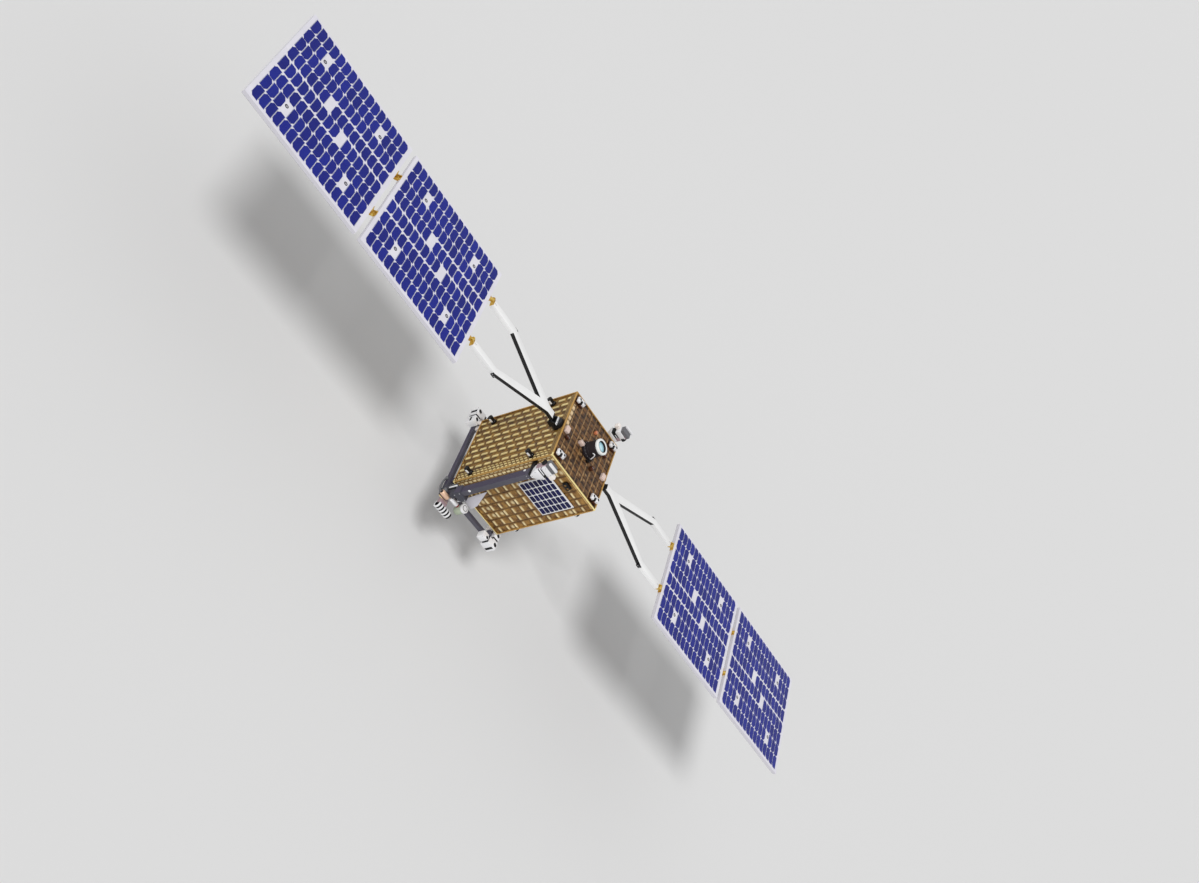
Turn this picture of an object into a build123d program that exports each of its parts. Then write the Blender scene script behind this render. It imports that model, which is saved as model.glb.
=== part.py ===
from build123d import *
import os

os.makedirs("parts", exist_ok=True)

# A microsatellite in its deployed form. Millimetres, +Z towards the forward deck.
# The origin is on the axis of the two wing drives, in the middle of the box body.
# X runs along the wings, Y from the front face (-Y) to the back face.

# Box body, measured over its blankets
bus_x = 400
bus_y = 466
bus_top = 44
bus_bottom = -578
blanket = 8            # blanket thickness at the crowns of its quilting
blanket_seam = 4       # and at its sewn seams
wall = 20              # honeycomb closure panel
panel_split = 0.5      # gap between closure panels that share a node
seat_gap = 0.3         # gap under a piece that sits on a soft or a turning face
cut_gap = 1.5          # blanket cut-outs stand off the piece inside by this much

skin_x = bus_x / 2 - blanket       # outer faces of the closure panels
skin_y = bus_y / 2 - blanket
skin_top = bus_top - blanket
skin_bottom = bus_bottom + blanket
skin_tall = skin_top - skin_bottom
mid_z = (bus_top + bus_bottom) / 2

# Quilting pitch across each face
quilt_side = 44
quilt_front = 42
quilt_deck = 46

# Heavy mass inside: battery, electronics and tank as one block on the aft deck
equipment = (220, 250, 330)

# Wing drive and root hinge, measured outwards from the middle of the body
fit = 0.05                         # radial clearance of a pin or shaft in its bore
collar_r = 34
collar_end = 206
shaft_r = 15
shaft_start = 197
flange_r = 32
flange_end = 214
web_end = 226
root_pin_out = 240
root_pin_z = -20
root_pin_r = 4
root_ear_r = 10
root_ear_thick = 8
root_lug_r = 9
root_lug_wide = 34
lug_gap = 0.5                      # side clearance of a lug between its ears
pin_head = 1.5                     # length of a pin outside its ears
clevis_low = -32
clevis_high = 8

# Yoke, a V frame with a stem
yoke_thick = 24
yoke_start = 256
yoke_stem_end = 300
yoke_stem_wide = 40
yoke_crotch = 378
yoke_bend = 684
yoke_inner_bend = 690
yoke_arm_y = 151
yoke_arm_wide = 35
yoke_edge = 1.5                    # chamfer along its edges

# Solar panels
panel_long = 704                   # along X
panel_wide = 669                   # along Y
panel_thick = 20
panel_gap = 30.5                   # between the two panels of a wing
holddown_from_end = 159
holddown_y = 191.5
holddown_hole_r = 6

# Panel hinges
yoke_hinge_out = 882               # pin between the yoke and the inner panel
yoke_hinge_z = 14.5
yoke_short = 16                    # from that pin back to the yoke's end
panel_beyond = 19.6                # from that pin on to the inner panel's edge
yoke_end = yoke_hinge_out - yoke_short
panel_start = yoke_hinge_out + panel_beyond
yoke_lug_r = 7.5
panel_hinge_z = -13.5
panel_hinge_y = 144
panel_lug_r = 7
hinge_pin_r = 3
hinge_ear_thick = 6
hinge_lug_wide = 14
hinge_foot = 4                     # thickness of a fitting's foot on the edge it stands on

# Solar cells: rows along X, columns along Y, a strip for each column
cell_rows = 16
cell_columns = 8
cell_margin_x = 20
cell_margin_y = 13
cell_thick = 1.2
cell_sheet = 0.3                   # bonding sheet under the cells
cell_gap = 1.4                     # between neighbours
cell_step_gap = 7                  # wide gap where a string steps aside
cell_steps = ((3, 7), (4, 9))      # column, and the row from which it steps aside
bare_places = ((3, 1), (12, 1), (3, 6), (12, 6), (6, 3), (9, 4))    # row, column from +Y

# Hold-down posts on the wing sides, in line with the holes of the folded panels
post_r = 11
post_waist_r = 8.5
post_cup = 221                     # the cup at the post's end starts here
post_foot_r = 15
post_foot_end = 204
post_end = 235

# Separation ring under the aft deck
ring_bolt_circle = 298
ring_bolts = 18
ring_bolt_r = 3.3
ring_outer_r = 159
ring_wall_r = 144
ring_wall = 7
ring_flange = 9
ring_tall = 80

# Boom frame round the aft end
bar = 24
frame_top = -616
frame_x = 190                      # bars along Y stand at this X
frame_y = 249                      # bars along X stand at this Y
foot_y = 196

# Long booms beside the front and back faces, on stand-offs near the forward deck
boom_x = -190
boom_y = -319.5
boom_wide = 30
boom_deep = 47
boom_corner = 4
boom_low = -500
boom_end = -55
standoff_x = -180
standoff_z = -72
standoff_tall = 24
standoff_wide = 14

# Corner pods: an L round two corners of the frame, with grooves, slots and round ports
corner_pod_low = -648
corner_pod_top = -592
corner_pod_out = 242
corner_pod_y = 301
corner_leg_x = 130                 # the legs end here along X and along Y
corner_leg_y = 196
groove = 4
slot_long = 44
slot_tall = 9
slot_deep = 4
port_r = 13
port_bore_r = 9
port_tall = 4
port_deep = 14

# End pods of the long booms: a wedge that widens into a slotted housing.
# Points are x, and z over the boom's end
end_pod_outline = (
    (-209, 0), (-171, 0), (-124, 50), (-124, 109), (-152, 109), (-152, 135), (-170, 135),
    (-170, 147), (-230, 147), (-230, 135), (-222, 135), (-222, 109), (-214, 109), (-214, 50),
)
end_pod_y = (-350, -304)
end_pod_slot = (62, 71)            # from and to over the boom's end
end_pod_slot_x = -150
end_pod_step = 5                   # depth of the stepped band round the core
end_pod_split = (-188, -170)
lens_y = -324
lens_over = 92                     # over the boom's end
lens_r = 12
lens_bore_r = 8
lens_out = 236

# Hubs: a strut up from the frame's corner to the head that the long boom stands on
strut_x = (-206, -165)
strut_deep = 44
head_x = (-211, -148)
head_y = (-348, -290)
head_tall = 60

# Devices round the hubs
capsule_at = (-322, -591)          # y, z of its axis along X
capsule_x = (-228, -176)
capsule_r = 14
small_capsule_at = (-320, -576)
small_capsule_x = (-170, -112)
small_capsule_r = 9
rod_places = ((-320, -623), (-328, -616))
rod_x = (-212, -150)
rod_r = 2.2
fin_pod_at = (-350, -642)
fin_pod_x = -180
fin_count = 4
fin_pitch = 22
fin_thick = 11
fin_r = 22
fin_core_r = 16
drum_at = (-62, -290)
drum_z = (-650, -590)
drum_r = 23
cap_r = 25
cap_tall = 14
side_plate = (-289, -281, -572, -520)    # y and z, low and high
side_plate_thick = 7

# Thrusters: one pod at each corner of the forward deck
deck_pod_x = 159
deck_pod_y = 190
deck_pod_size = (54, 40)
deck_pod_end = 58
deck_pod_notch = 8
nozzle_r = 12
nozzle_spread = 34
nozzle_stagger = 8
nozzle_end = 66
nozzle_mouth_r = 9
nozzle_deep = 6

# Telescope on the forward deck
tube_x = 14
tube_y = 10
tube_foot_r = 46
tube_foot_end = 52
tube_r = 40
tube_end = 116
mouth_r = 44
mouth_bore_r = 30
mouth_lip = 2
mouth_end = 130
glass_end = 121
glass_rise = 3

# Small boxes on the forward deck: x, y, size along x, y, and height above the blanket
deck_boxes = (
    (-52, -2, 30, 18, 16),
    (75, -56, 16, 22, 12),
    (133, 91, 18, 14, 10),
    (19, 148, 14, 18, 10),
    (-150, -60, 20, 14, 8),
)
eyelet_at = (31, -48)
eyelet_r = 9
eyelet_up = 18                     # its middle over the blanket
eyelet_thick = 5

# Covers of the wing drives at the deck's edge
cover_x = 170
cover_y = -25
cover_size = (26, 38)
cover_end = 56

# Body-mounted solar panel on the front face
body_panel_x = (-87, 144)
body_panel_z = (-241, -49)
body_panel_thick = 6
body_cells = (5, 7)                # along X, along Z
body_cell_gap = 4
body_margin = 7

# Gusset plate between the frame's front bar and the front face: x, z of its corners
gusset = ((-80, -600), (-87, -436), (-17, -549), (-4, -600))
gusset_thick = 3.5

# Twin sensor on the front face near the deck
twin_x = 9
twin_z = -5
twin_spread = 22
twin_r = 10
twin_size = (46, 26)
twin_end = -243
twin_base_end = -237


def keep(piece, node):
    piece.part.label = node
    export_step(piece.part, f"parts/{node}.step")


def slab(low, high, mode=Mode.ADD):
    """A box between two corners, at its place."""
    size = [b - a for a, b in zip(low, high)]
    with Locations(tuple((a + b) / 2 for a, b in zip(low, high))):
        Box(*size, mode=mode)


def rod(start, end, radius, mode=Mode.ADD):
    """A round bar from one point to another."""
    axis = Vector(*end) - Vector(*start)
    middle = (Vector(*start) + Vector(*end)) / 2
    with Locations(Plane(origin=middle, z_dir=axis)):
        Cylinder(radius, axis.length, mode=mode)


def turned(start, direction, outline):
    """A body of revolution: the outline gives height along the axis and distance from it."""
    across = (0, 1, 0) if abs(direction[1]) < 0.5 else (0, 0, 1)
    with BuildSketch(Plane(origin=start, x_dir=direction, z_dir=across)) as section:
        with BuildLine():
            Polyline(*outline, close=True)
        make_face()
    revolve(section.sketch, axis=Axis(start, direction))


def with_half_turn(piece):
    """A piece and its copy half a turn round the body's own axis."""
    add(piece.part)
    add(piece.part.rotate(Axis.Z, 180))


def leaf(pin, radius, foot_low, foot_high, y_mid, width):
    """A hinge leaf seen along Y: round at its pin, straight to its foot."""
    with BuildSketch(Plane.XZ.offset(-y_mid)) as outline:
        with Locations(pin):
            Circle(radius)
        with Locations(((foot_low[0] + foot_high[0]) / 2, (foot_low[1] + foot_high[1]) / 2)):
            Rectangle(abs(foot_high[0] - foot_low[0]), foot_high[1] - foot_low[1])
        make_hull()
    extrude(outline.sketch, amount=width / 2, both=True)


def quilt(face, across, along, pitch):
    """A blanket with crowns along the face's own Y, one scallop for each pitch."""
    count = max(1, round(across / pitch))
    step = across / count
    left = -across / 2
    section = Plane(
        origin=face.origin + face.y_dir * (along / 2), x_dir=face.x_dir, z_dir=face.y_dir * -1
    )
    with BuildSketch(section) as profile:
        with BuildLine():
            Line((left, 0), (left, blanket_seam))
            for i in range(count):
                ThreePointArc(
                    (left + i * step, blanket_seam),
                    (left + (i + 0.5) * step, blanket),
                    (left + (i + 1) * step, blanket_seam),
                )
            Line((-left, blanket_seam), (-left, 0))
            Line((-left, 0), (left, 0))
        make_face()
    extrude(profile.sketch, amount=along)


def stowed_z(out):
    """Height at which a point of the inner panel lies when the wing is folded down."""
    return root_pin_z + root_pin_out - 2 * yoke_hinge_out + out


# Closure panels of the box body
with BuildPart() as bus_side_panels:
    for s in (-1, 1):
        x_low, x_high = sorted((s * (skin_x - wall), s * skin_x))
        y_low, y_high = sorted((s * (skin_y - wall), s * skin_y))
        reach = skin_x - wall - panel_split
        slab((x_low, -skin_y, skin_bottom + wall), (x_high, skin_y, skin_top - wall))
        slab((-reach, y_low, skin_bottom + wall), (reach, y_high, skin_top - wall))
keep(bus_side_panels, "bus_side_panels")

with BuildPart() as forward_deck:
    slab((-skin_x, -skin_y, skin_top - wall), (skin_x, skin_y, skin_top))
keep(forward_deck, "forward_deck")

with BuildPart() as aft_deck:
    slab((-skin_x, -skin_y, skin_bottom), (skin_x, skin_y, skin_bottom + wall))
keep(aft_deck, "aft_deck")

with BuildPart() as equipment_block:
    length, width, height = equipment
    floor = skin_bottom + wall
    slab((-length / 2, -width / 2, floor), (length / 2, width / 2, floor + height))
keep(equipment_block, "equipment_block")

# Rails along the twelve edges of the box
with BuildPart() as edge_rails:
    slab((-bus_x / 2, -bus_y / 2, bus_bottom), (bus_x / 2, bus_y / 2, bus_top))
    slab((-bus_x, -skin_y, skin_bottom), (bus_x, skin_y, skin_top), Mode.SUBTRACT)
    slab((-skin_x, -bus_y, skin_bottom), (skin_x, bus_y, skin_top), Mode.SUBTRACT)
    slab((-skin_x, -skin_y, 2 * bus_bottom), (skin_x, skin_y, 2 * bus_top), Mode.SUBTRACT)
keep(edge_rails, "edge_rails")

# Quilted blankets, cut out round what stands on the panels under them
post_heights = (
    stowed_z(panel_start + holddown_from_end),
    stowed_z(panel_start + panel_long - holddown_from_end),
)
with BuildPart() as side_blankets:
    for s in (-1, 1):
        quilt(
            Plane(origin=(s * skin_x, 0, mid_z), x_dir=(0, s, 0), z_dir=(s, 0, 0)),
            2 * skin_y, skin_tall, quilt_side,
        )
        quilt(
            Plane(origin=(0, s * skin_y, mid_z), x_dir=(-s, 0, 0), z_dir=(0, s, 0)),
            2 * skin_x, skin_tall, quilt_front,
        )
        start, end = s * skin_x, s * bus_x
        rod((start, 0, 0), (end, 0, 0), collar_r + cut_gap, Mode.SUBTRACT)
        for y in (-holddown_y, holddown_y):
            for z in post_heights:
                rod((start, y, z), (end, y, z), post_foot_r + cut_gap, Mode.SUBTRACT)
        standoff_half = standoff_wide / 2 + cut_gap
        y_low, y_high = sorted((s * skin_y, s * bus_y))
        slab(
            (-s * standoff_x - standoff_half, y_low, standoff_z - standoff_tall / 2 - cut_gap),
            (-s * standoff_x + standoff_half, y_high, standoff_z + standoff_tall / 2 + cut_gap),
            Mode.SUBTRACT,
        )
    twin_half = twin_size[0] / 2 + cut_gap
    twin_tall = twin_size[1] / 2 + cut_gap
    slab(
        (twin_x - twin_half, -bus_y, twin_z - twin_tall),
        (twin_x + twin_half, -skin_y, twin_z + twin_tall),
        Mode.SUBTRACT,
    )
keep(side_blankets, "side_blankets")

with BuildPart() as forward_blanket:
    quilt(
        Plane(origin=(0, 0, skin_top), x_dir=(1, 0, 0), z_dir=(0, 0, 1)),
        2 * skin_x, 2 * skin_y, quilt_deck,
    )
    rod((tube_x, tube_y, 0), (tube_x, tube_y, mouth_end), tube_foot_r + cut_gap, Mode.SUBTRACT)
    cuts = [(x, y, a, b) for x, y, a, b, _ in deck_boxes]
    cuts += [(s * cover_x, cover_y, *cover_size) for s in (-1, 1)]
    cuts += [
        (sx * deck_pod_x, sy * deck_pod_y, *deck_pod_size) for sx in (-1, 1) for sy in (-1, 1)
    ]
    cuts += [(*eyelet_at, 2 * eyelet_r, eyelet_thick)]
    for x, y, a, b in cuts:
        slab(
            (x - a / 2 - cut_gap, y - b / 2 - cut_gap, 0),
            (x + a / 2 + cut_gap, y + b / 2 + cut_gap, mouth_end),
            Mode.SUBTRACT,
        )
keep(forward_blanket, "forward_blanket")

with BuildPart() as aft_blanket:
    slab(
        (-skin_x, -skin_y, skin_bottom - blanket_seam),
        (skin_x, skin_y, skin_bottom),
    )
    rod((0, 0, bus_bottom), (0, 0, skin_bottom), ring_outer_r + cut_gap, Mode.SUBTRACT)
    half = bar / 2 + cut_gap
    foot_x = frame_x - bar / 2
    for x in (-foot_x, foot_x):
        for y in (-foot_y, foot_y):
            slab((x - half, y - half, bus_bottom), (x + half, y + half, skin_bottom), Mode.SUBTRACT)
keep(aft_blanket, "aft_blanket")

# Separation ring: a wall between two flanges, the lower one drilled on its bolt circle
ring_face = skin_bottom - ring_tall
with BuildPart() as separation_ring:
    with BuildSketch(Plane.XZ):
        with BuildLine():
            Polyline(
                (ring_wall_r - ring_wall, skin_bottom),
                (ring_outer_r, skin_bottom),
                (ring_outer_r, skin_bottom - ring_flange),
                (ring_wall_r, skin_bottom - ring_flange),
                (ring_wall_r, ring_face + ring_flange),
                (ring_outer_r, ring_face + ring_flange),
                (ring_outer_r, ring_face),
                (ring_wall_r - ring_wall, ring_face),
                close=True,
            )
        make_face()
    revolve(axis=Axis.Z)
    with Locations(Plane.XY.offset(ring_face + ring_flange / 2)):
        with PolarLocations(ring_bolt_circle / 2, ring_bolts):
            Cylinder(ring_bolt_r, 2 * ring_flange, mode=Mode.SUBTRACT)
keep(separation_ring, "separation_ring")

# Boom frame: four bars and the feet that stand on the aft deck
frame_bottom = frame_top - bar
with BuildPart() as boom_frame:
    for s in (-1, 1):
        slab(
            (s * frame_x - bar / 2, -frame_y - bar / 2, frame_bottom),
            (s * frame_x + bar / 2, frame_y + bar / 2, frame_top),
        )
        slab(
            (-frame_x - bar / 2, s * frame_y - bar / 2, frame_bottom),
            (frame_x + bar / 2, s * frame_y + bar / 2, frame_top),
        )
        for y in (-foot_y, foot_y):
            slab(
                (s * foot_x - bar / 2, y - bar / 2, frame_bottom),
                (s * foot_x + bar / 2, y + bar / 2, skin_bottom),
            )
keep(boom_frame, "boom_frame")

# Long boom and its stand-off; the back one is the same half a turn round the body
boom_inner = boom_y + boom_deep / 2
with BuildPart() as one_boom:
    with BuildSketch(Plane.XY.offset(boom_low)):
        with Locations((boom_x, boom_y)):
            RectangleRounded(boom_wide, boom_deep, boom_corner)
    extrude(amount=boom_end - boom_low)
    slab(
        (standoff_x - standoff_wide / 2, boom_y, standoff_z - standoff_tall / 2),
        (standoff_x + standoff_wide / 2, -skin_y, standoff_z + standoff_tall / 2),
    )
with BuildPart() as long_booms:
    with_half_turn(one_boom)
keep(long_booms, "long_booms")

# End pods: the outline is cut from the front, then slotted, stepped and bored for its lens
end_low, end_high = end_pod_y
with BuildPart() as one_end_pod:
    with BuildSketch(Plane.XZ.offset(-end_high)):
        with BuildLine():
            Polyline(*[(x, boom_end + z) for x, z in end_pod_outline], close=True)
        make_face()
    extrude(amount=end_high - end_low)
    x_low = min(x for x, _ in end_pod_outline)
    x_high = max(x for x, _ in end_pod_outline)
    shoulder, step_top = end_pod_outline[3][1], end_pod_outline[5][1]
    slab(
        (x_low - 1, end_low - 1, boom_end + end_pod_slot[0]),
        (end_pod_slot_x, end_high + 1, boom_end + end_pod_slot[1]), Mode.SUBTRACT,
    )
    slab(
        (x_low - 1, end_low - 1, boom_end + shoulder),
        (x_high + 1, end_low + end_pod_step, boom_end + step_top), Mode.SUBTRACT,
    )
    slab(
        (end_pod_split[0], end_high - end_pod_step, boom_end + end_pod_slot[1]),
        (end_pod_split[1], end_high + 1, boom_end + shoulder), Mode.SUBTRACT,
    )
    lens_in = -end_pod_outline[-2][0] - 4
    lens_z = boom_end + lens_over
    turned((0, lens_y, lens_z), (-1, 0, 0), (
        (lens_in, 0), (lens_in, lens_r), (lens_out, lens_r), (lens_out, lens_bore_r),
        (lens_out - 5, lens_bore_r), (lens_out - 5, 0),
    ))
with BuildPart() as boom_end_pods:
    with_half_turn(one_end_pod)
keep(boom_end_pods, "boom_end_pods")

# Corner pods: grooves part the blocks, and the ports stand on the forward side
frame_out_x = frame_x + bar / 2
frame_out_y = frame_y + bar / 2
leg_mid_x = (corner_pod_out + frame_out_x) / 2
leg_mid_y = (corner_pod_y + frame_out_y) / 2
with BuildPart() as one_corner_pod:
    with BuildSketch(Plane.XY.offset(corner_pod_low)):
        with BuildLine():
            Polyline(
                (-corner_pod_out, corner_leg_y), (-frame_out_x, corner_leg_y), (-frame_out_x, frame_out_y),
                (-corner_leg_x, frame_out_y),
                (-corner_leg_x, corner_pod_y),
                (-corner_pod_out, corner_pod_y),
                close=True,
            )
        make_face()
    extrude(amount=corner_pod_top - corner_pod_low)
    upright = one_corner_pod.edges().filter_by(Axis.Z)
    chamfer([e for e in upright if e.center().X < -frame_out_x - 1 or e.center().Y > frame_out_y + 1], 2)
    mid_z_pod = (corner_pod_low + corner_pod_top) / 2
    slab(
        (-frame_out_x + 12, leg_mid_y, corner_pod_low - 1),
        (-frame_out_x + 12 + groove, corner_pod_y + 1, corner_pod_top + 1), Mode.SUBTRACT,
    )
    slab(
        (-corner_pod_out - 1, frame_out_y - 12 - groove, corner_pod_low - 1),
        (-leg_mid_x, frame_out_y - 12, corner_pod_top + 1), Mode.SUBTRACT,
    )
    port_at = (leg_mid_x, leg_mid_y)
    leg_ports = (
        (-port_at[0], port_at[1]),
        (-(corner_leg_x + frame_out_x - 12) / 2, port_at[1]),
        (-port_at[0], (corner_leg_y + frame_out_y - 12 - groove) / 2),
    )
    for x, y in leg_ports:
        turned((x, y, corner_pod_top), (0, 0, 1), (
            (-1, 0), (-1, port_r), (port_tall, port_r), (port_tall, 0),
        ))
        rod(
            (x, y, corner_pod_top + port_tall - port_deep), (x, y, corner_pod_top + port_tall),
            port_bore_r, Mode.SUBTRACT,
        )
    for _, y in leg_ports[::2]:
        slab(
            (-corner_pod_out - 1, y - slot_tall / 2, mid_z_pod - slot_long / 2),
            (-corner_pod_out + slot_deep, y + slot_tall / 2, mid_z_pod + slot_long / 2), Mode.SUBTRACT,
        )
    slab(
        (-port_at[0] - slot_tall / 2, corner_pod_y - slot_deep, mid_z_pod - slot_long / 2),
        (-port_at[0] + slot_tall / 2, corner_pod_y + 1, mid_z_pod + slot_long / 2), Mode.SUBTRACT,
    )
with BuildPart() as corner_pods:
    with_half_turn(one_corner_pod)
keep(corner_pods, "corner_pods")

# Hubs: the strut stands on the frame's outer side and carries the head under the long boom
strut_out = -frame_out_y - strut_deep
with BuildPart() as one_hub:
    slab((strut_x[0], strut_out, frame_bottom), (strut_x[1], -frame_out_y, boom_low - head_tall / 2))
    chamfer(one_hub.edges().filter_by(Axis.Z), 3)
    slab((head_x[0], head_y[0], boom_low - head_tall), (head_x[1], head_y[1], boom_low))
    chamfer(one_hub.faces().sort_by(Axis.Y)[0].edges(), 4)
with BuildPart() as boom_hubs:
    with_half_turn(one_hub)
keep(boom_hubs, "boom_hubs")

# Devices on their brackets: capsules and rods beside the strut, a finned pod, a capped drum and a side plate
strut_mid = (strut_x[0] + strut_x[1]) / 2
with BuildPart() as one_set:
    y, z = capsule_at
    rod((capsule_x[0], y, z), (capsule_x[1], y, z), capsule_r)
    slab((strut_mid - 6, y, z - 6), (strut_mid + 6, strut_out, z + 6))
    y, z = small_capsule_at
    rod((small_capsule_x[0], y, z), (small_capsule_x[1], y, z), small_capsule_r)
    slab((strut_x[1], y, z - 3), (strut_x[1] + 12, -frame_out_y - strut_deep / 2, z + 3))
    for y, z in rod_places:
        rod((rod_x[0], y, z), (rod_x[1], y, z), rod_r)
    y, z = fin_pod_at
    slab((strut_mid - 8, y, z - 2), (strut_x[1] + 20, strut_out, rod_places[1][1] + rod_r))
    fins = [(0, 0)]
    for i in range(fin_count):
        at = i * fin_pitch
        fins += [(at, fin_core_r), (at, fin_r), (at + fin_thick, fin_r), (at + fin_thick, fin_core_r)]
    fins.append((fins[-1][0], 0))
    turned((fin_pod_x, y, z), (1, 0, 0), fins)
with BuildPart() as one_drum:
    x, y = drum_at
    low, high = drum_z
    turned((x, y, 0), (0, 0, 1), (
        (low, 0), (low, drum_r), (high, drum_r),
        (high, cap_r), (high + cap_tall, cap_r), (high + cap_tall, 0),
    ))
    slab((x - drum_r / 2, y, frame_bottom + 2), (x + drum_r / 2, -frame_out_y, frame_top - 2))
with BuildPart() as one_side_plate:
    y_low, y_high, z_low, z_high = side_plate
    slab((strut_x[0] - side_plate_thick, y_low, z_low), (strut_x[0], y_high, z_high))
    chamfer(one_side_plate.edges().filter_by(Axis.X), 1.5)
with BuildPart() as hub_devices:
    for one in (one_set, one_drum, one_side_plate):
        with_half_turn(one)
keep(hub_devices, "hub_devices")

# Front face: solar panel, its cells, gusset plate and twin sensor
body_panel_back = -bus_y / 2 - seat_gap
body_panel_face = body_panel_back - body_panel_thick
with BuildPart() as body_solar_panel:
    slab(
        (body_panel_x[0], body_panel_face, body_panel_z[0]),
        (body_panel_x[1], body_panel_back, body_panel_z[1]),
    )
keep(body_solar_panel, "body_solar_panel")

with BuildPart() as body_solar_cells:
    step_x = (body_panel_x[1] - body_panel_x[0] - 2 * body_margin + body_cell_gap) / body_cells[0]
    step_z = (body_panel_z[1] - body_panel_z[0] - 2 * body_margin + body_cell_gap) / body_cells[1]
    middle_x = sum(body_panel_x) / 2
    middle_z = sum(body_panel_z) / 2
    with Locations(Plane(origin=(middle_x, body_panel_face - cell_thick / 2, middle_z), z_dir=(0, -1, 0))):
        with GridLocations(step_x, step_z, *body_cells):
            Box(step_x - body_cell_gap, step_z - body_cell_gap, cell_thick)
keep(body_solar_cells, "body_solar_cells")

with BuildPart() as gusset_plate:
    with BuildSketch(Plane.XZ.offset(bus_y / 2 + seat_gap)):
        with BuildLine():
            Polyline(*gusset, close=True)
        make_face()
    extrude(amount=gusset_thick)
keep(gusset_plate, "gusset_plate")

with BuildPart() as twin_sensor:
    slab(
        (twin_x - twin_size[0] / 2, twin_base_end, twin_z - twin_size[1] / 2),
        (twin_x + twin_size[0] / 2, -skin_y, twin_z + twin_size[1] / 2),
    )
    for s in (-1, 1):
        turned((twin_x + s * twin_spread / 2, 0, twin_z), (0, -1, 0), (
            (-twin_base_end, 0), (-twin_base_end, twin_r), (-twin_end, twin_r),
            (-twin_end, twin_r * 0.7), (-twin_base_end + 2, twin_r * 0.7), (-twin_base_end + 2, 0),
        ))
keep(twin_sensor, "twin_sensor")

# Hold-down posts on both wing sides
with BuildPart() as holddown_posts:
    for s in (-1, 1):
        for y in (-holddown_y, holddown_y):
            for z in post_heights:
                turned((0, y, z), (s, 0, 0), (
                    (skin_x, 0), (skin_x, post_foot_r), (post_foot_end, post_foot_r),
                    (post_foot_end, post_waist_r), (post_cup, post_waist_r), (post_cup, post_r),
                    (post_end, post_r), (post_end, 0),
                ))
keep(holddown_posts, "holddown_posts")

# Drive collars, each bored for its output shaft
with BuildPart() as drive_collars:
    for s in (-1, 1):
        rod((s * skin_x, 0, 0), (s * collar_end, 0, 0), collar_r)
        rod((s * (shaft_start - 1), 0, 0), (s * bus_x, 0, 0), shaft_r + fit, Mode.SUBTRACT)
keep(drive_collars, "drive_collars")

with BuildPart() as drive_covers:
    for s in (-1, 1):
        slab(
            (s * cover_x - cover_size[0] / 2, cover_y - cover_size[1] / 2, skin_top),
            (s * cover_x + cover_size[0] / 2, cover_y + cover_size[1] / 2, cover_end),
        )
keep(drive_covers, "drive_covers")

# Telescope: tube, mouth ring and glass
with BuildPart() as telescope_tube:
    turned((tube_x, tube_y, 0), (0, 0, 1), (
        (skin_top, 0), (skin_top, tube_foot_r), (tube_foot_end, tube_foot_r),
        (tube_foot_end, tube_r), (tube_end, tube_r), (tube_end, 0),
    ))
keep(telescope_tube, "telescope_tube")

with BuildPart() as telescope_mouth:
    turned((tube_x, tube_y, 0), (0, 0, 1), (
        (tube_end, tube_r), (tube_end + 4, mouth_r), (mouth_end - mouth_lip, mouth_r),
        (mouth_end, mouth_r - mouth_lip), (mouth_end, mouth_bore_r), (tube_end, mouth_bore_r),
    ))
keep(telescope_mouth, "telescope_mouth")

with BuildPart() as telescope_glass:
    glass_r = mouth_bore_r - seat_gap
    turned((tube_x, tube_y, 0), (0, 0, 1), (
        (tube_end, 0), (tube_end, glass_r), (glass_end, glass_r), (glass_end + glass_rise, 0),
    ))
keep(telescope_glass, "telescope_glass")

# Thruster pods of the forward deck: a notched block with two nozzles
with BuildPart() as one_deck_pod:
    with BuildSketch(Plane.XY.offset(skin_top)):
        Rectangle(*deck_pod_size)
        with Locations((0, -deck_pod_size[1] / 2)):
            Rectangle(deck_pod_notch, deck_pod_size[1], mode=Mode.SUBTRACT)
    extrude(amount=deck_pod_end - skin_top)
    for side in (-1, 1):
        turned((side * nozzle_spread / 2, side * nozzle_stagger / 2, 0), (0, 0, 1), (
            (deck_pod_end - 1, 0), (deck_pod_end - 1, nozzle_r), (nozzle_end, nozzle_r),
            (nozzle_end, nozzle_mouth_r),
            (nozzle_end - nozzle_deep, nozzle_mouth_r),
            (nozzle_end - nozzle_deep, 0),
        ))
with BuildPart() as deck_thruster_pods:
    for sx in (-1, 1):
        for sy in (-1, 1):
            with Locations((sx * deck_pod_x, sy * deck_pod_y)):
                add(one_deck_pod.part)
keep(deck_thruster_pods, "deck_thruster_pods")

with BuildPart() as deck_fittings:
    for x, y, a, b, height in deck_boxes:
        slab((x - a / 2, y - b / 2, skin_top), (x + a / 2, y + b / 2, bus_top + height))
    x, y = eyelet_at
    middle = bus_top + eyelet_up
    slab((x - eyelet_r, y - eyelet_thick / 2, skin_top), (x + eyelet_r, y + eyelet_thick / 2, middle))
    rod((x, y - eyelet_thick / 2, middle), (x, y + eyelet_thick / 2, middle), eyelet_r)
    rod((x, y - eyelet_r, middle), (x, y + eyelet_r, middle), eyelet_r / 2, Mode.SUBTRACT)
keep(deck_fittings, "deck_fittings")


# Wings. Each function takes the side's sign, -1 for left and 1 for right.
def ear_offset(lug_wide, ear_thick):
    return lug_wide / 2 + lug_gap + ear_thick / 2


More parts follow.
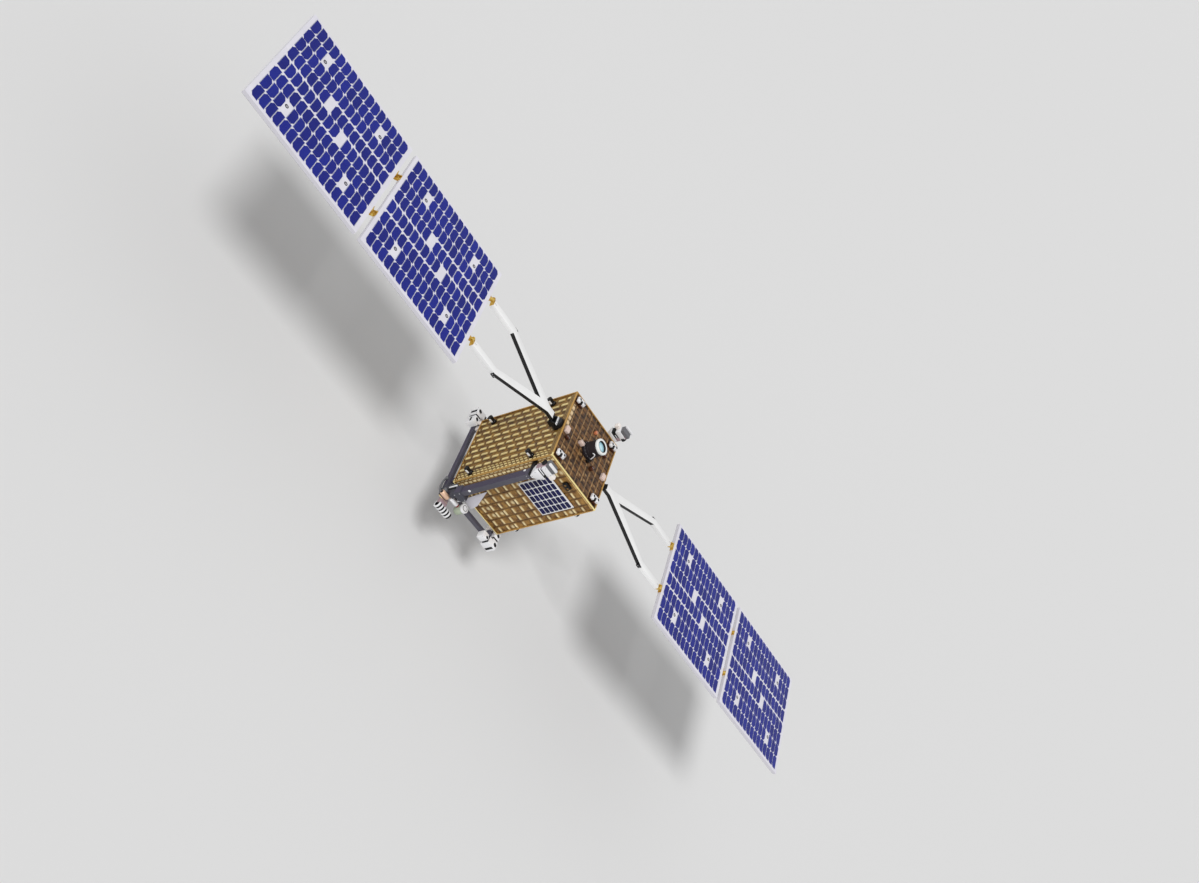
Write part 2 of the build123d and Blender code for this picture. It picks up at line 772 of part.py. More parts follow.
def clevis(s, pin, radius, foot, tall, y_mid):
    """Two ears, the foot that joins them and the pin through them, at a hinge of the wing."""
    low, high = tall
    step = ear_offset(hinge_lug_wide, hinge_ear_thick)
    for side in (-1, 1):
        leaf(
            (s * pin[0], pin[1]), radius, (s * foot[0], low), (s * foot[1], high),
            y_mid + side * step, hinge_ear_thick,
        )
    half = step + hinge_ear_thick / 2
    x_low, x_high = sorted((s * foot[0], s * foot[1]))
    slab((x_low, y_mid - half, low), (x_high, y_mid + half, high))
    reach = half + pin_head
    rod((s * pin[0], y_mid - reach, pin[1]), (s * pin[0], y_mid + reach, pin[1]), hinge_pin_r)


def lug(s, pin, radius, foot, tall, y_mid):
    """A single leaf with its foot, bored for the pin."""
    low, high = tall
    leaf((s * pin[0], pin[1]), radius, (s * foot[0], low), (s * foot[1], high), y_mid, hinge_lug_wide)
    half = ear_offset(hinge_lug_wide, hinge_ear_thick) + hinge_ear_thick / 2
    x_low, x_high = sorted((s * foot[0], s * foot[1]))
    slab((x_low, y_mid - half, low), (x_high, y_mid + half, high))
    reach = hinge_lug_wide
    rod(
        (s * pin[0], y_mid - reach, pin[1]), (s * pin[0], y_mid + reach, pin[1]),
        hinge_pin_r + fit, Mode.SUBTRACT,
    )


half_panel = panel_thick / 2
half_yoke = yoke_thick / 2
panel_end = panel_start + panel_long
outer_start = panel_end + panel_gap
panel_hinge_out = panel_end + panel_gap / 2
yoke_pin = (yoke_hinge_out, yoke_hinge_z)
panel_pin = (panel_hinge_out, panel_hinge_z)


def wing_panel(s, start):
    x_low, x_high = sorted((s * start, s * (start + panel_long)))
    slab((x_low, -panel_wide / 2, -half_panel), (x_high, panel_wide / 2, half_panel))
    for out in (start + holddown_from_end, start + panel_long - holddown_from_end):
        for y in (-holddown_y, holddown_y):
            rod((s * out, y, -panel_thick), (s * out, y, panel_thick), holddown_hole_r, Mode.SUBTRACT)


def wing_cells(s, start):
    """Strips of cells on their bonding sheet, which step aside and leave some places bare."""
    left = min(s * start, s * (start + panel_long)) + cell_margin_x
    pitch_x = (panel_long - 2 * cell_margin_x) / cell_rows
    top = panel_wide / 2 - cell_margin_y
    pitch_y = (2 * top - 2 * cell_step_gap) / cell_columns

    def shift(row, column):
        return cell_step_gap * sum(
            column > at or (column == at and row >= first) for at, first in cell_steps
        )

    def runs(column):
        """Where the column's strip stands: runs of rows with the same shift."""
        ends = [row for row in range(1, cell_rows) if shift(row, column) != shift(row - 1, column)]
        return zip([0] + ends, ends + [cell_rows])

    with BuildSketch(Plane.XY.offset(half_panel)) as sheet:
        with Locations((left + pitch_x * cell_rows / 2, 0)):
            Rectangle(pitch_x * cell_rows, 2 * top)
    extrude(sheet.sketch, amount=cell_sheet)
    with BuildSketch(Plane.XY.offset(half_panel + cell_sheet)) as strips:
        for column in range(cell_columns):
            for first, last in runs(column):
                middle = top - (column + 0.5) * pitch_y - shift(first, column)
                with Locations((left + pitch_x * (first + last) / 2, middle)):
                    Rectangle(pitch_x * (last - first), pitch_y - cell_gap)
    extrude(strips.sketch, amount=cell_thick - cell_sheet)
    with BuildSketch(Plane.XY.offset(half_panel)) as bare:
        for row, column in bare_places:
            middle = top - (column + 0.5) * pitch_y - shift(row, column)
            with Locations((left + (row + 0.5) * pitch_x, middle)):
                Rectangle(pitch_x, pitch_y)
    extrude(bare.sketch, amount=cell_thick, mode=Mode.SUBTRACT)


for side_name, s in (("left", -1), ("right", 1)):
    # Turning half of the drive: shaft, flange and root clevis with its pin
    with BuildPart() as drive_flange:
        rod((s * shaft_start, 0, 0), (s * flange_end, 0, 0), shaft_r)
        rod((s * (collar_end + seat_gap), 0, 0), (s * flange_end, 0, 0), flange_r)
        step = ear_offset(root_lug_wide, root_ear_thick)
        half = step + root_ear_thick / 2
        x_low, x_high = sorted((s * flange_end, s * web_end))
        slab((x_low, -half, clevis_low), (x_high, half, clevis_high))
        for side in (-1, 1):
            leaf(
                (s * root_pin_out, root_pin_z), root_ear_r,
                (s * flange_end, clevis_low), (s * web_end, clevis_high),
                side * step, root_ear_thick,
            )
        reach = half + pin_head
        rod(
            (s * root_pin_out, -reach, root_pin_z), (s * root_pin_out, reach, root_pin_z),
            root_pin_r,
        )
    keep(drive_flange, f"{side_name}_drive_flange")

    # Yoke: stem, two arms and the root lug
    with BuildPart() as yoke:
        arm_out = yoke_arm_y + yoke_arm_wide / 2
        arm_in = yoke_arm_y - yoke_arm_wide / 2
        half_stem = yoke_stem_wide / 2
        edge = [
            (yoke_start, half_stem), (yoke_stem_end, half_stem), (yoke_bend, arm_out),
            (yoke_end, arm_out), (yoke_end, arm_in), (yoke_inner_bend, arm_in),
        ]
        points = [(s * x, y) for x, y in edge]
        points += [(s * yoke_crotch, 0)]
        points += [(s * x, -y) for x, y in reversed(edge)]
        with BuildSketch(Plane.XY.offset(-half_yoke)):
            with BuildLine():
                Polyline(*points, close=True)
            make_face()
        extrude(amount=yoke_thick)
        for level in (0, -1):
            chamfer(yoke.faces().sort_by(Axis.Z)[level].edges(), yoke_edge)
        leaf(
            (s * root_pin_out, root_pin_z), root_lug_r,
            (s * yoke_start, -half_yoke), (s * (yoke_start + hinge_foot), half_yoke),
            0, root_lug_wide,
        )
        rod(
            (s * root_pin_out, -root_lug_wide, root_pin_z), (s * root_pin_out, root_lug_wide, root_pin_z),
            root_pin_r + fit, Mode.SUBTRACT,
        )
    keep(yoke, f"{side_name}_yoke")

    with BuildPart() as yoke_hinges:
        for y in (-yoke_arm_y, yoke_arm_y):
            clevis(
                s, yoke_pin, yoke_lug_r, (yoke_end, yoke_end + hinge_foot), (-half_yoke, half_yoke), y
            )
    keep(yoke_hinges, f"{side_name}_yoke_hinges")

    with BuildPart() as inner_panel:
        wing_panel(s, panel_start)
    keep(inner_panel, f"{side_name}_inner_panel")

    with BuildPart() as inner_cells:
        wing_cells(s, panel_start)
    keep(inner_cells, f"{side_name}_inner_cells")

    with BuildPart() as inner_hinges:
        for side in (-1, 1):
            lug(
                s, yoke_pin, yoke_lug_r, (panel_start - hinge_foot, panel_start),
                (-half_panel, half_panel), side * yoke_arm_y,
            )
            clevis(
                s, panel_pin, panel_lug_r, (panel_end, panel_end + hinge_foot),
                (-half_panel, half_panel), side * panel_hinge_y,
            )
    keep(inner_hinges, f"{side_name}_inner_hinges")

    with BuildPart() as outer_panel:
        wing_panel(s, outer_start)
    keep(outer_panel, f"{side_name}_outer_panel")

    with BuildPart() as outer_cells:
        wing_cells(s, outer_start)
    keep(outer_cells, f"{side_name}_outer_cells")

    with BuildPart() as outer_hinges:
        for side in (-1, 1):
            lug(
                s, panel_pin, panel_lug_r, (outer_start - hinge_foot, outer_start),
                (-half_panel, half_panel), side * panel_hinge_y,
            )
    keep(outer_hinges, f"{side_name}_outer_hinges")
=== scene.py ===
import math

import bmesh
import bpy
import numpy as np
from mathutils import Matrix, Vector


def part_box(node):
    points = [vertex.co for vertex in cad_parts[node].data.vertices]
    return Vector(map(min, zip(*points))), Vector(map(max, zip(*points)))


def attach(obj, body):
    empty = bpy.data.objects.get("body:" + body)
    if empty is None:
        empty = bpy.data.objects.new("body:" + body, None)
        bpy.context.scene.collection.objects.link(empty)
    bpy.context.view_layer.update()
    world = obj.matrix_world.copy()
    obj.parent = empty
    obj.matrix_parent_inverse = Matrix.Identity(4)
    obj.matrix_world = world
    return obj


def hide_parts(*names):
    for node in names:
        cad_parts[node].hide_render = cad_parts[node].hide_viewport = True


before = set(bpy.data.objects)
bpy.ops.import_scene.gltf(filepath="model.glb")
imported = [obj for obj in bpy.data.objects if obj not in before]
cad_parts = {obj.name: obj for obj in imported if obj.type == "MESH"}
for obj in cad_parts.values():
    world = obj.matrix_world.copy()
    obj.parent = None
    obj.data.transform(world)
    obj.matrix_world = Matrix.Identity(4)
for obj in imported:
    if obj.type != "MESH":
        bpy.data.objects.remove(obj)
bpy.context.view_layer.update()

# A microsatellite with both wings out. Shapes are worked out in millimetres and put down in metres:
# +Z points out of the deck that carries the telescope, X runs along the wings, -Y is the front face.
mm = 0.001
print("frame loaded,", len(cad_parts), "solids")


def boxOf(node):
    low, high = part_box(node)
    return np.array(low) / mm, np.array(high) / mm


skinLow, skinHigh = boxOf("forward_deck")
skinLow[2] = boxOf("aft_deck")[0][2]
# the telescope's mouth: its glass finish reads it too
mouth = {"x": 14.0, "y": 12.0, "glass": 29.7, "bore": 30.0, "window": 33.0, "outer": 42.5, "low": 116.0,
         "high": 130.0, "flare": 4.0, "edge": 1.6, "dome": 2.0}


# Camera, light and floor
cameraView = {
    "aim": (14.1, 62.1, 96.5),    # what the middle of the picture shows
    "distance": 6177.8,
    "azimuth": 35.85,             # from +Y towards +X
    "down": 31.27,
    "roll": 74.47,                # the picture's right leans this far towards +Z
    "lens": 37.055,
    "sensor": 36,
}
studio = {
    "background": 0.72,           # what the world and the floor show the camera
    "ambient": 0.47,
    "floorHeight": -1.0,          # metres, as the reach
    "floorReach": 180,
    "floorColour": 0.78,
    "keyFrom": (-0.42, -0.38, 0.82),
    "keyStrength": 1.62,
    "keyAngle": 14,
    "fillFrom": (-0.75, -0.62, 0.1),
    "fillStrength": 0.55,
    "fillAngle": 35,
}


def placeCamera(view):
    azimuth, down, roll = (math.radians(view[key]) for key in ("azimuth", "down", "roll"))
    flat = math.cos(down)
    forward = np.array([math.sin(azimuth) * flat, math.cos(azimuth) * flat, -math.sin(down)])
    level = np.array([math.cos(azimuth), -math.sin(azimuth), 0])
    right = math.cos(roll) * level + math.sin(roll) * np.cross(level, forward)
    up = np.cross(right, forward)
    turn = np.eye(4)
    turn[:3, :3] = np.stack([right, up, -forward], axis=1)
    turn[:3, 3] = (np.array(view["aim"]) - forward * view["distance"]) * mm
    camera = bpy.data.objects.new("camera", bpy.data.cameras.new("camera"))
    bpy.context.scene.collection.objects.link(camera)
    camera.matrix_world = Matrix(turn.tolist())
    camera.data.lens, camera.data.sensor_width = view["lens"], view["sensor"]
    bpy.context.scene.camera = camera


def placeSun(name, source, strength, angle):
    lamp = bpy.data.lights.new(name, "SUN")
    lamp.energy, lamp.angle = strength, math.radians(angle)
    sun = bpy.data.objects.new(name, lamp)
    bpy.context.scene.collection.objects.link(sun)
    sun.rotation_mode = "QUATERNION"
    sun.rotation_quaternion = Vector(source).to_track_quat("Z", "Y")


def operator(operation, swapped=False):
    # the method that puts a Math node on a wire and what it is combined with
    def method(wire, *others):
        values = (*others, wire) if swapped else (wire, *others)
        return wire.look.node("ShaderNodeMath", {"operation": operation}, dict(enumerate(values)))
    return method


class Wire:
    # one output of a material's nodes: Python's operators on it add Math nodes
    def __init__(self, look, socket):
        self.look, self.socket = look, socket

    __add__, __radd__ = operator("ADD"), operator("ADD", True)
    __sub__, __rsub__ = operator("SUBTRACT"), operator("SUBTRACT", True)
    __mul__, __rmul__ = operator("MULTIPLY"), operator("MULTIPLY", True)
    __truediv__, __pow__, __mod__ = operator("DIVIDE"), operator("POWER"), operator("FLOORED_MODULO")
    __gt__, __lt__, __abs__ = operator("GREATER_THAN"), operator("LESS_THAN"), operator("ABSOLUTE")
    floor, lesser, greater = operator("FLOOR"), operator("MINIMUM"), operator("MAXIMUM")

    def clipped(self):
        return self.greater(0.0).lesser(1.0)

    def ramp(self, start, slope):
        # 0 up to the start, then rising to 1
        return ((self - start) * slope).clipped()


class Look:
    # the nodes of a new material, or of the world: node() adds any node, the other methods the usual ones
    def __init__(self, owner):
        self.owner = bpy.data.materials.new(owner) if isinstance(owner, str) else owner
        self.owner.use_nodes = True
        self.tree = self.owner.node_tree
        self.tree.nodes.clear()

    def node(self, kind, settings=None, values=None, out=0):
        made = self.tree.nodes.new(kind)
        for key, value in (settings or {}).items():
            setattr(made, key, value)
        for key, value in (values or {}).items():
            if isinstance(value, Wire):
                self.tree.links.new(value.socket, made.inputs[key])
            else:
                made.inputs[key].default_value = value
        return Wire(self, made.outputs[out]) if len(made.outputs) else made

    def place(self):
        return self.node("ShaderNodeTexCoord", out="Object")

    def axes(self, place):
        split = self.node("ShaderNodeSeparateXYZ", values={0: place})
        return [Wire(self, socket) for socket in split.socket.node.outputs]

    def mark(self, name):
        return self.node("ShaderNodeAttribute", {"attribute_name": name}, out="Fac")

    def noise(self, place, scale, detail=3.0, rough=0.55, warp=0.0):
        values = {"Vector": place, "Scale": scale, "Detail": detail, "Roughness": rough, "Distortion": warp}
        return self.node("ShaderNodeTexNoise", values=values)

    def stretched(self, place, scale):
        return self.node("ShaderNodeVectorMath", {"operation": "MULTIPLY"}, {0: place, 1: scale})

    def blend(self, mask, first, second):
        values = {0: mask, 6: first, 7: second}
        return self.node("ShaderNodeMix", {"data_type": "RGBA"}, values, out=2)

    def surface(self, colour, roughness, metal=0.0, height=None, depth=0.0, **sockets):
        # depth is that of the bump, in millimetres
        values = {"Base Color": colour, "Roughness": roughness, "Metallic": metal}
        if height is not None:
            values["Normal"] = self.node("ShaderNodeBump", values={"Height": height, "Distance": depth * mm})
        values.update({key.replace("_", " "): value for key, value in sockets.items()})
        shader = self.node("ShaderNodeBsdfPrincipled", values=values)
        self.node("ShaderNodeOutputMaterial", values={"Surface": shader})
        return self.owner


def tint(red, green, blue):
    # a colour as a screen shows it, 0 to 255, as the linear values that a shader takes
    share = np.array([red, green, blue]) / 255
    linear = np.where(share <= 0.04045, share / 12.92, ((share + 0.055) / 1.055) ** 2.4)
    return (*linear.tolist(), 1.0)


def setStudio():
    world = bpy.data.worlds.new("studio")
    bpy.context.scene.world = world
    look = Look(world)
    seen, glossy, passed = (
        look.node("ShaderNodeLightPath", out=f"Is {ray} Ray") for ray in ("Camera", "Glossy", "Transmission")
    )
    share = (seen + glossy + passed).clipped()
    level = share * (studio["background"] - studio["ambient"]) + studio["ambient"]
    light = look.node("ShaderNodeBackground", values={"Color": (1.0, 1.0, 1.0, 1.0), "Strength": level})
    look.node("ShaderNodeOutputWorld", values={"Surface": light})
    bpy.context.scene.view_settings.view_transform = "Standard"
    placeSun("key", studio["keyFrom"], studio["keyStrength"], studio["keyAngle"])
    placeSun("fill", studio["fillFrom"], studio["fillStrength"], studio["fillAngle"])
    reach, height = studio["floorReach"], studio["floorHeight"]
    mesh = bpy.data.meshes.new("floor")
    corners = [(x * reach, y * reach, height) for x, y in ((-1, -1), (1, -1), (1, 1), (-1, 1))]
    mesh.from_pydata(corners, [], [(0, 1, 2, 3)])
    floor = bpy.data.objects.new("floor", mesh)
    bpy.context.scene.collection.objects.link(floor)
    pale = studio["floorColour"]
    mesh.materials.append(Look("floorPaint").surface((pale, pale, pale, 1.0), 0.9))


placeCamera(cameraView)
setStudio()
print("camera, light and floor placed")


# Finishes
coatings = {
    # name: colour as a screen shows it, roughness, share of metal, mottling, grain per metre, its depth in mm
    "podWhite": ((240, 240, 242), 0.42, 0.0, 0.05, 700, 0.05),
    "podGrey": ((112, 112, 116), 0.45, 0.2, 0.08, 500, 0.05),
    "boomGrey": ((86, 84, 96), 0.5, 0.0, 0.18, 420, 0.12),
    "boomPurple": ((72, 65, 86), 0.5, 0.0, 0.16, 420, 0.1),
    "hubGrey": ((74, 74, 84), 0.5, 0.2, 0.14, 380, 0.1),
    "podMauve": ((172, 146, 152), 0.45, 0.1, 0.12, 400, 0.06),
    "podPale": ((252, 245, 240), 0.42, 0.0, 0.06, 600, 0.05),
    "capRed": ((128, 34, 34), 0.4, 0.1, 0.1, 500, 0.04),
    "rodCream": ((238, 212, 152), 0.4, 0.1, 0.06, 500, 0.04),
    "blackAnodised": ((22, 21, 23), 0.42, 0.2, 0.2, 600, 0.05),
    # black parts, and painted shade in bores, ports, slots and between fins
    "blackAndBoreShade": ((8, 8, 9), 0.7, 0.0, 0.2, 600, 0.05),
    "drumGreen": ((172, 182, 160), 0.5, 0.0, 0.08, 500, 0.05),
    "copperPink": ((240, 200, 170), 0.4, 0.25, 0.1, 350, 0.08),
    "coverTan": ((236, 212, 200), 0.45, 0.0, 0.08, 500, 0.06),
    "tubeBlack": ((38, 31, 36), 0.6, 0.0, 0.25, 260, 0.2),
    "mouthWhite": ((244, 247, 245), 0.35, 0.0, 0.04, 700, 0.04),
    "yokeWhite": ((246, 246, 246), 0.4, 0.0, 0.03, 500, 0.05),
    "yokeBlack": ((14, 14, 16), 0.5, 0.0, 0.2, 500, 0.08),
    "fittingBrown": ((92, 52, 34), 0.5, 0.1, 0.2, 300, 0.1),
    # the twin sensor's wells: a gold-brown painted highlight
    "wellHighlightGold": ((168, 124, 58), 0.4, 0.3, 0.2, 300, 0.1),
    "spotOrange": ((226, 140, 96), 0.45, 0.1, 0.1, 400, 0.08),
    "plateGrey": ((226, 223, 232), 0.4, 0.1, 0.06, 300, 0.05),
    "boltSteel": ((190, 190, 194), 0.3, 0.9, 0.08, 500, 0.03),
    "silverTab": ((205, 208, 215), 0.28, 0.85, 0.08, 300, 0.02),
    "equipmentGrey": ((120, 122, 126), 0.5, 0.3, 0.1, 300, 0.1),
    "harnessAmber": ((196, 120, 40), 0.35, 0.0, 0.15, 220, 0.2),
}


coatFinish = {"cloudScale": 9.0, "cloudShare": 0.7, "wornFrom": 0.3, "wornSlope": 2.5, "sheen": 0.18}


def dimmed(colour, share):
    return tuple(share * value for value in colour[:3]) + (1.0,)


def coatedLook(name):
    screen, roughness, metal, mottle, grain, depth = coatings[name]
    look, colour = Look(name), tint(*screen)
    place = look.place()
    cloud = look.noise(place, coatFinish["cloudScale"], detail=4.0)
    fine = look.noise(place, float(grain), detail=2.0)
    worn = cloud * coatFinish["cloudShare"] + fine * (1 - coatFinish["cloudShare"])
    worn = worn.ramp(coatFinish["wornFrom"], coatFinish["wornSlope"])
    body = look.blend(worn, dimmed(colour, 1 - 2 * mottle), colour)
    roughness = roughness + (fine - 0.5) * coatFinish["sheen"]
    return look.surface(body, roughness, metal, fine, depth, Specular_IOR_Level=0.4)


foils = {
    # name: valley, ground, the painted highlight on the crests, and the band's colour, as a screen shows them
    "sideFoil": ((92, 58, 14), (168, 124, 46), (255, 234, 166), (120, 82, 30)),
    "frontFoil": ((104, 66, 20), (180, 136, 66), (255, 236, 184), (232, 192, 120)),
    "deckFoil": ((44, 22, 6), (138, 96, 52), (220, 178, 122), (248, 218, 170)),
}
foilFinish = {
    "metal": 0.3,
    "roughness": 0.3,
    "cloudScale": 26.0,
    "groundFrom": 0.36,      # where the cloud turns from valley to ground, and how fast
    "groundSlope": 3.2,
    "creaseScale": 85.0,
    "creaseDepth": 1.3,      # millimetres
    "seamShade": 0.35,
}


def creased(look, place):
    # ridged noise: 1 along the creases of crumpled foil
    return 1 - abs(look.noise(place, foilFinish["creaseScale"], 5.0, rough=0.6, warp=0.4) - 0.5) * 2


def foilLook(name):
    # crumpled foil: its colour follows the quilting's bands, with a painted highlight on the crests and
    # painted shade in the seams, folds and tucks
    valley, ground, crestHighlight, band = (tint(*colour) for colour in foils[name])
    look = Look(name)
    place = look.place()
    cloud = look.noise(place, foilFinish["cloudScale"], 4.0, rough=0.6)
    crease = creased(look, place)
    body = look.blend(cloud.ramp(foilFinish["groundFrom"], foilFinish["groundSlope"]), valley, ground)
    body = look.blend(look.mark("band"), body, band)
    # painted highlight: cream along the quilting's crests, brighter on the creases
    glint = (look.mark("crestHighlight") * (0.55 + crease * 0.5)).clipped()
    body = look.blend(glint, body, crestHighlight)
    # painted shade: the seams, folds and tucks darken towards the valley colour
    body = look.blend(look.mark("shadedSeam") * 0.8, body, dimmed(valley, foilFinish["seamShade"]))
    roughness = foilFinish["roughness"] + cloud * 0.22
    return look.surface(body, roughness, foilFinish["metal"], crease ** 3.0, foilFinish["creaseDepth"])


railFinish = {
    "line": 5.0,             # width of the painted highlight along an edge, millimetres
    "front": 214.0,          # the painted highlight is bright only beyond this, on the front face's level edges
    "bright": (255, 236, 164),
    "dull": (196, 152, 78),
    "valley": (96, 62, 20),
    "ground": (190, 146, 72),
    "cloudScale": 34.0,
}


def railLook():
    # a taped edge: how far a point is from the edge is the middle one of its distances to the body's faces
    look = Look("railTape")
    place = look.place()
    low, high = boxOf("edge_rails")
    middle, half = (low + high) / 2 * mm, (high - low) / 2 * mm
    x, y, z = look.axes(place)
    fromX, fromY, fromZ = (half[i] - abs(wire - middle[i]) for i, wire in enumerate((x, y, z)))
    near = fromX.lesser(fromY).greater(fromX.greater(fromY).lesser(fromZ))
    cloud = look.noise(place, railFinish["cloudScale"], 4.0, rough=0.6)
    crease = creased(look, place)
    ground = cloud.ramp(foilFinish["groundFrom"], foilFinish["groundSlope"])
    body = look.blend(ground, tint(*railFinish["valley"]), tint(*railFinish["ground"]))
    front = ((y * -1.0) > railFinish["front"] * mm) * (fromZ < 2 * railFinish["line"] * mm)
    # painted highlight along the edges: bright on the front face's level edges, dull on the others
    line = look.blend(front, tint(*railFinish["dull"]), tint(*railFinish["bright"]))
    body = look.blend(near < railFinish["line"] * mm, body, line)
    return look.surface(body, 0.34 + cloud * 0.2, 0.25, crease, 1.0)


cellFinish = {
    "deep": (9, 18, 112),
    "bright": (20, 34, 146),
    "bodyDeep": (3, 3, 44),
    "bodyBright": (10, 10, 78),
    "finger": (96, 110, 190),
    "fingerPitch": 2.5,      # millimetres
    "fingerFrom": 0.44,      # how far from the middle of a pitch a finger starts, as a share of the pitch
    "fingerShare": 0.2,
    "roughness": 0.26,
}


def cellLook(name, deep, bright):
    # blue cells under cover glass: each has its own shade, with faint contact fingers across it
    look = Look(name)
    place = look.place()
    across = look.axes(place)[0] / (cellFinish["fingerPitch"] * mm)
    finger = abs(across % 1.0 - 0.5) > cellFinish["fingerFrom"]
    cloud = look.noise(place, 30.0, 2.0)
    shade = (look.mark("shade") * 0.6 + (cloud - 0.5) * 0.6 + 0.2).clipped()
    body = look.blend(shade, tint(*deep), tint(*bright))
    body = look.blend(finger * cellFinish["fingerShare"], body, tint(*cellFinish["finger"]))
    roughness = cellFinish["roughness"] + cloud * 0.08
    return look.surface(body, roughness, 0.0, cloud, 0.1, Specular_IOR_Level=0.18)


boardFinish = {
    "white": (240, 238, 246),
    "shaded": (226, 224, 234),
    "edge": (214, 212, 220),
    "carbonLight": (58, 58, 64),
    "carbonDark": (20, 20, 23),
    "tow": 4.0,              # width of one woven tow
    "skin": 9.5,             # half a panel less its skins
}


def boardLook():
    # a sandwich panel: white in front, woven carbon behind, its closed edge between them
    look = Look("wingBoard")
    place = look.place()
    white, shaded, edge, light, dark = (
        tint(*boardFinish[key]) for key in ("white", "shaded", "edge", "carbonLight", "carbonDark")
    )
    x, y, z = look.axes(place)
    tow = boardFinish["tow"] * mm
    twill = (((x / tow).floor() - (y / tow).floor()) % 4.0) > 1.5
    soft = look.noise(look.stretched(place, (900.0, 60.0, 60.0)), 1.0, 2.0)
    carbon = look.blend((twill * 0.6 + soft * 0.4).clipped(), dark, light)
    cloud = look.noise(place, 12.0, 3.0)
    front, back = z > boardFinish["skin"] * mm, (z * -1.0) > boardFinish["skin"] * mm
    body = look.blend(front, edge, look.blend(cloud.ramp(0.4, 2.0), shaded, white))
    body = look.blend(back, body, carbon)
    return look.surface(body, 0.36 + cloud * 0.12, 0.0, back * twill, 0.15, Specular_IOR_Level=0.35)


def goldLook():
    # conversion-coated fittings: warm gold in patches
    look = Look("hingeGold")
    place = look.place()
    cloud = look.noise(place, 45.0, 3.0, rough=0.6, warp=1.0)
    fine = look.noise(place, 900.0, 2.0)
    body = look.blend(cloud.ramp(0.42, 4.0), tint(196, 150, 52), tint(240, 212, 120))
    return look.surface(body, 0.26 + fine * 0.16, 0.75, fine, 0.03)


def turnedLook(name, colour, pitch):
    # turned metal: fine rings round the body's Z axis
    look = Look(name)
    place = look.place()
    x, y, z = look.axes(place)
    radius = (x * x + y * y) ** 0.5
    rings = look.node("ShaderNodeCombineXYZ", values={0: radius, 2: z})
    grooves = look.noise(rings, 1 / (pitch * mm), 2.0)
    cloud = look.noise(place, 14.0, 3.0)
    body = look.blend((cloud * 0.6 + grooves * 0.4).clipped(), dimmed(colour, 0.72), colour)
    return look.surface(body, 0.26 + grooves * 0.2, 0.9, grooves, 0.03)


def glassLook():
    # the telescope's front window: a pale cyan coating, darker towards its edge
    look = Look("windowGlass")
    place = look.place()
    x, y, _ = look.axes(place)
    shiftX, shiftY = x - mouth["x"] * mm, y - mouth["y"] * mm
    radius = (shiftX * shiftX + shiftY * shiftY) ** 0.5
    cloud = look.noise(place, 40.0, 2.0)
    edge = ((radius / (mouth["window"] * mm)) ** 3.0 + (cloud - 0.5) * 0.3).clipped()
    body = look.blend(edge, tint(202, 244, 255), tint(120, 190, 212))
    return look.surface(body, 0.08, Coat_Weight=0.6, Coat_Roughness=0.03)


def panelLook():
    # closure panels of the body: bare aluminium skins with the print of the core's cells
    look = Look("closurePanel")
    values = {"Vector": look.place(), "Scale": 160.0}
    cells = look.node("ShaderNodeTexVoronoi", {"feature": "DISTANCE_TO_EDGE"}, values, out="Distance")
    core = (cells * 6.0).clipped()
    body = look.blend(core, tint(150, 152, 156), tint(186, 188, 192))
    return look.surface(body, 0.42 + core * 0.1, 0.7, core, 0.08)


looks = {name: coatedLook(name) for name in coatings}
looks.update({name: foilLook(name) for name in foils})
looks["wingCell"] = cellLook("wingCell", cellFinish["deep"], cellFinish["bright"])
looks["bodyCell"] = cellLook("bodyCell", cellFinish["bodyDeep"], cellFinish["bodyBright"])
looks["wingBoard"] = boardLook()
looks["hingeGold"] = goldLook()
looks["railTape"] = railLook()
looks["ringMetal"] = turnedLook("ringMetal", tint(206, 208, 214), pitch=1.1)
looks["windowGlass"] = glassLook()
looks["closurePanel"] = panelLook()
print("finishes made:", len(looks))


# Surfaces. A shape is (points, blocks): a block is an array of faces and the number of its finish.
def gridFaces(rows, columns, closedRows=False, closedColumns=False):
    # the quad between every point of a grid and its next neighbours along both parameters
    row = np.arange(rows if closedRows else rows - 1)[:, None]
    column = np.arange(columns if closedColumns else columns - 1)[None, :]
    nextRow, nextColumn = (row + 1) % rows, (column + 1) % columns
    corners = (row * columns + column, row * columns + nextColumn,
               nextRow * columns + nextColumn, nextRow * columns + column)
    return np.stack(np.broadcast_arrays(*corners), axis=-1).reshape(-1, 4)


def stacked(rings, paint=0):
    # closed sections one after another: quads from each to the next, a flat face over both ends
    count, around = rings.shape[:2]
    ends = np.arange(around)
    caps = np.stack([ends[::-1], ends + (count - 1) * around])
    return rings.reshape(-1, 3), [(gridFaces(count, around, closedColumns=True), paint), (caps, paint)]


def quarter(steps):
    # angles of a rounded edge, a little past its flat so that no two points of a section meet
    return np.linspace(0.15, math.pi / 2, steps + 1)


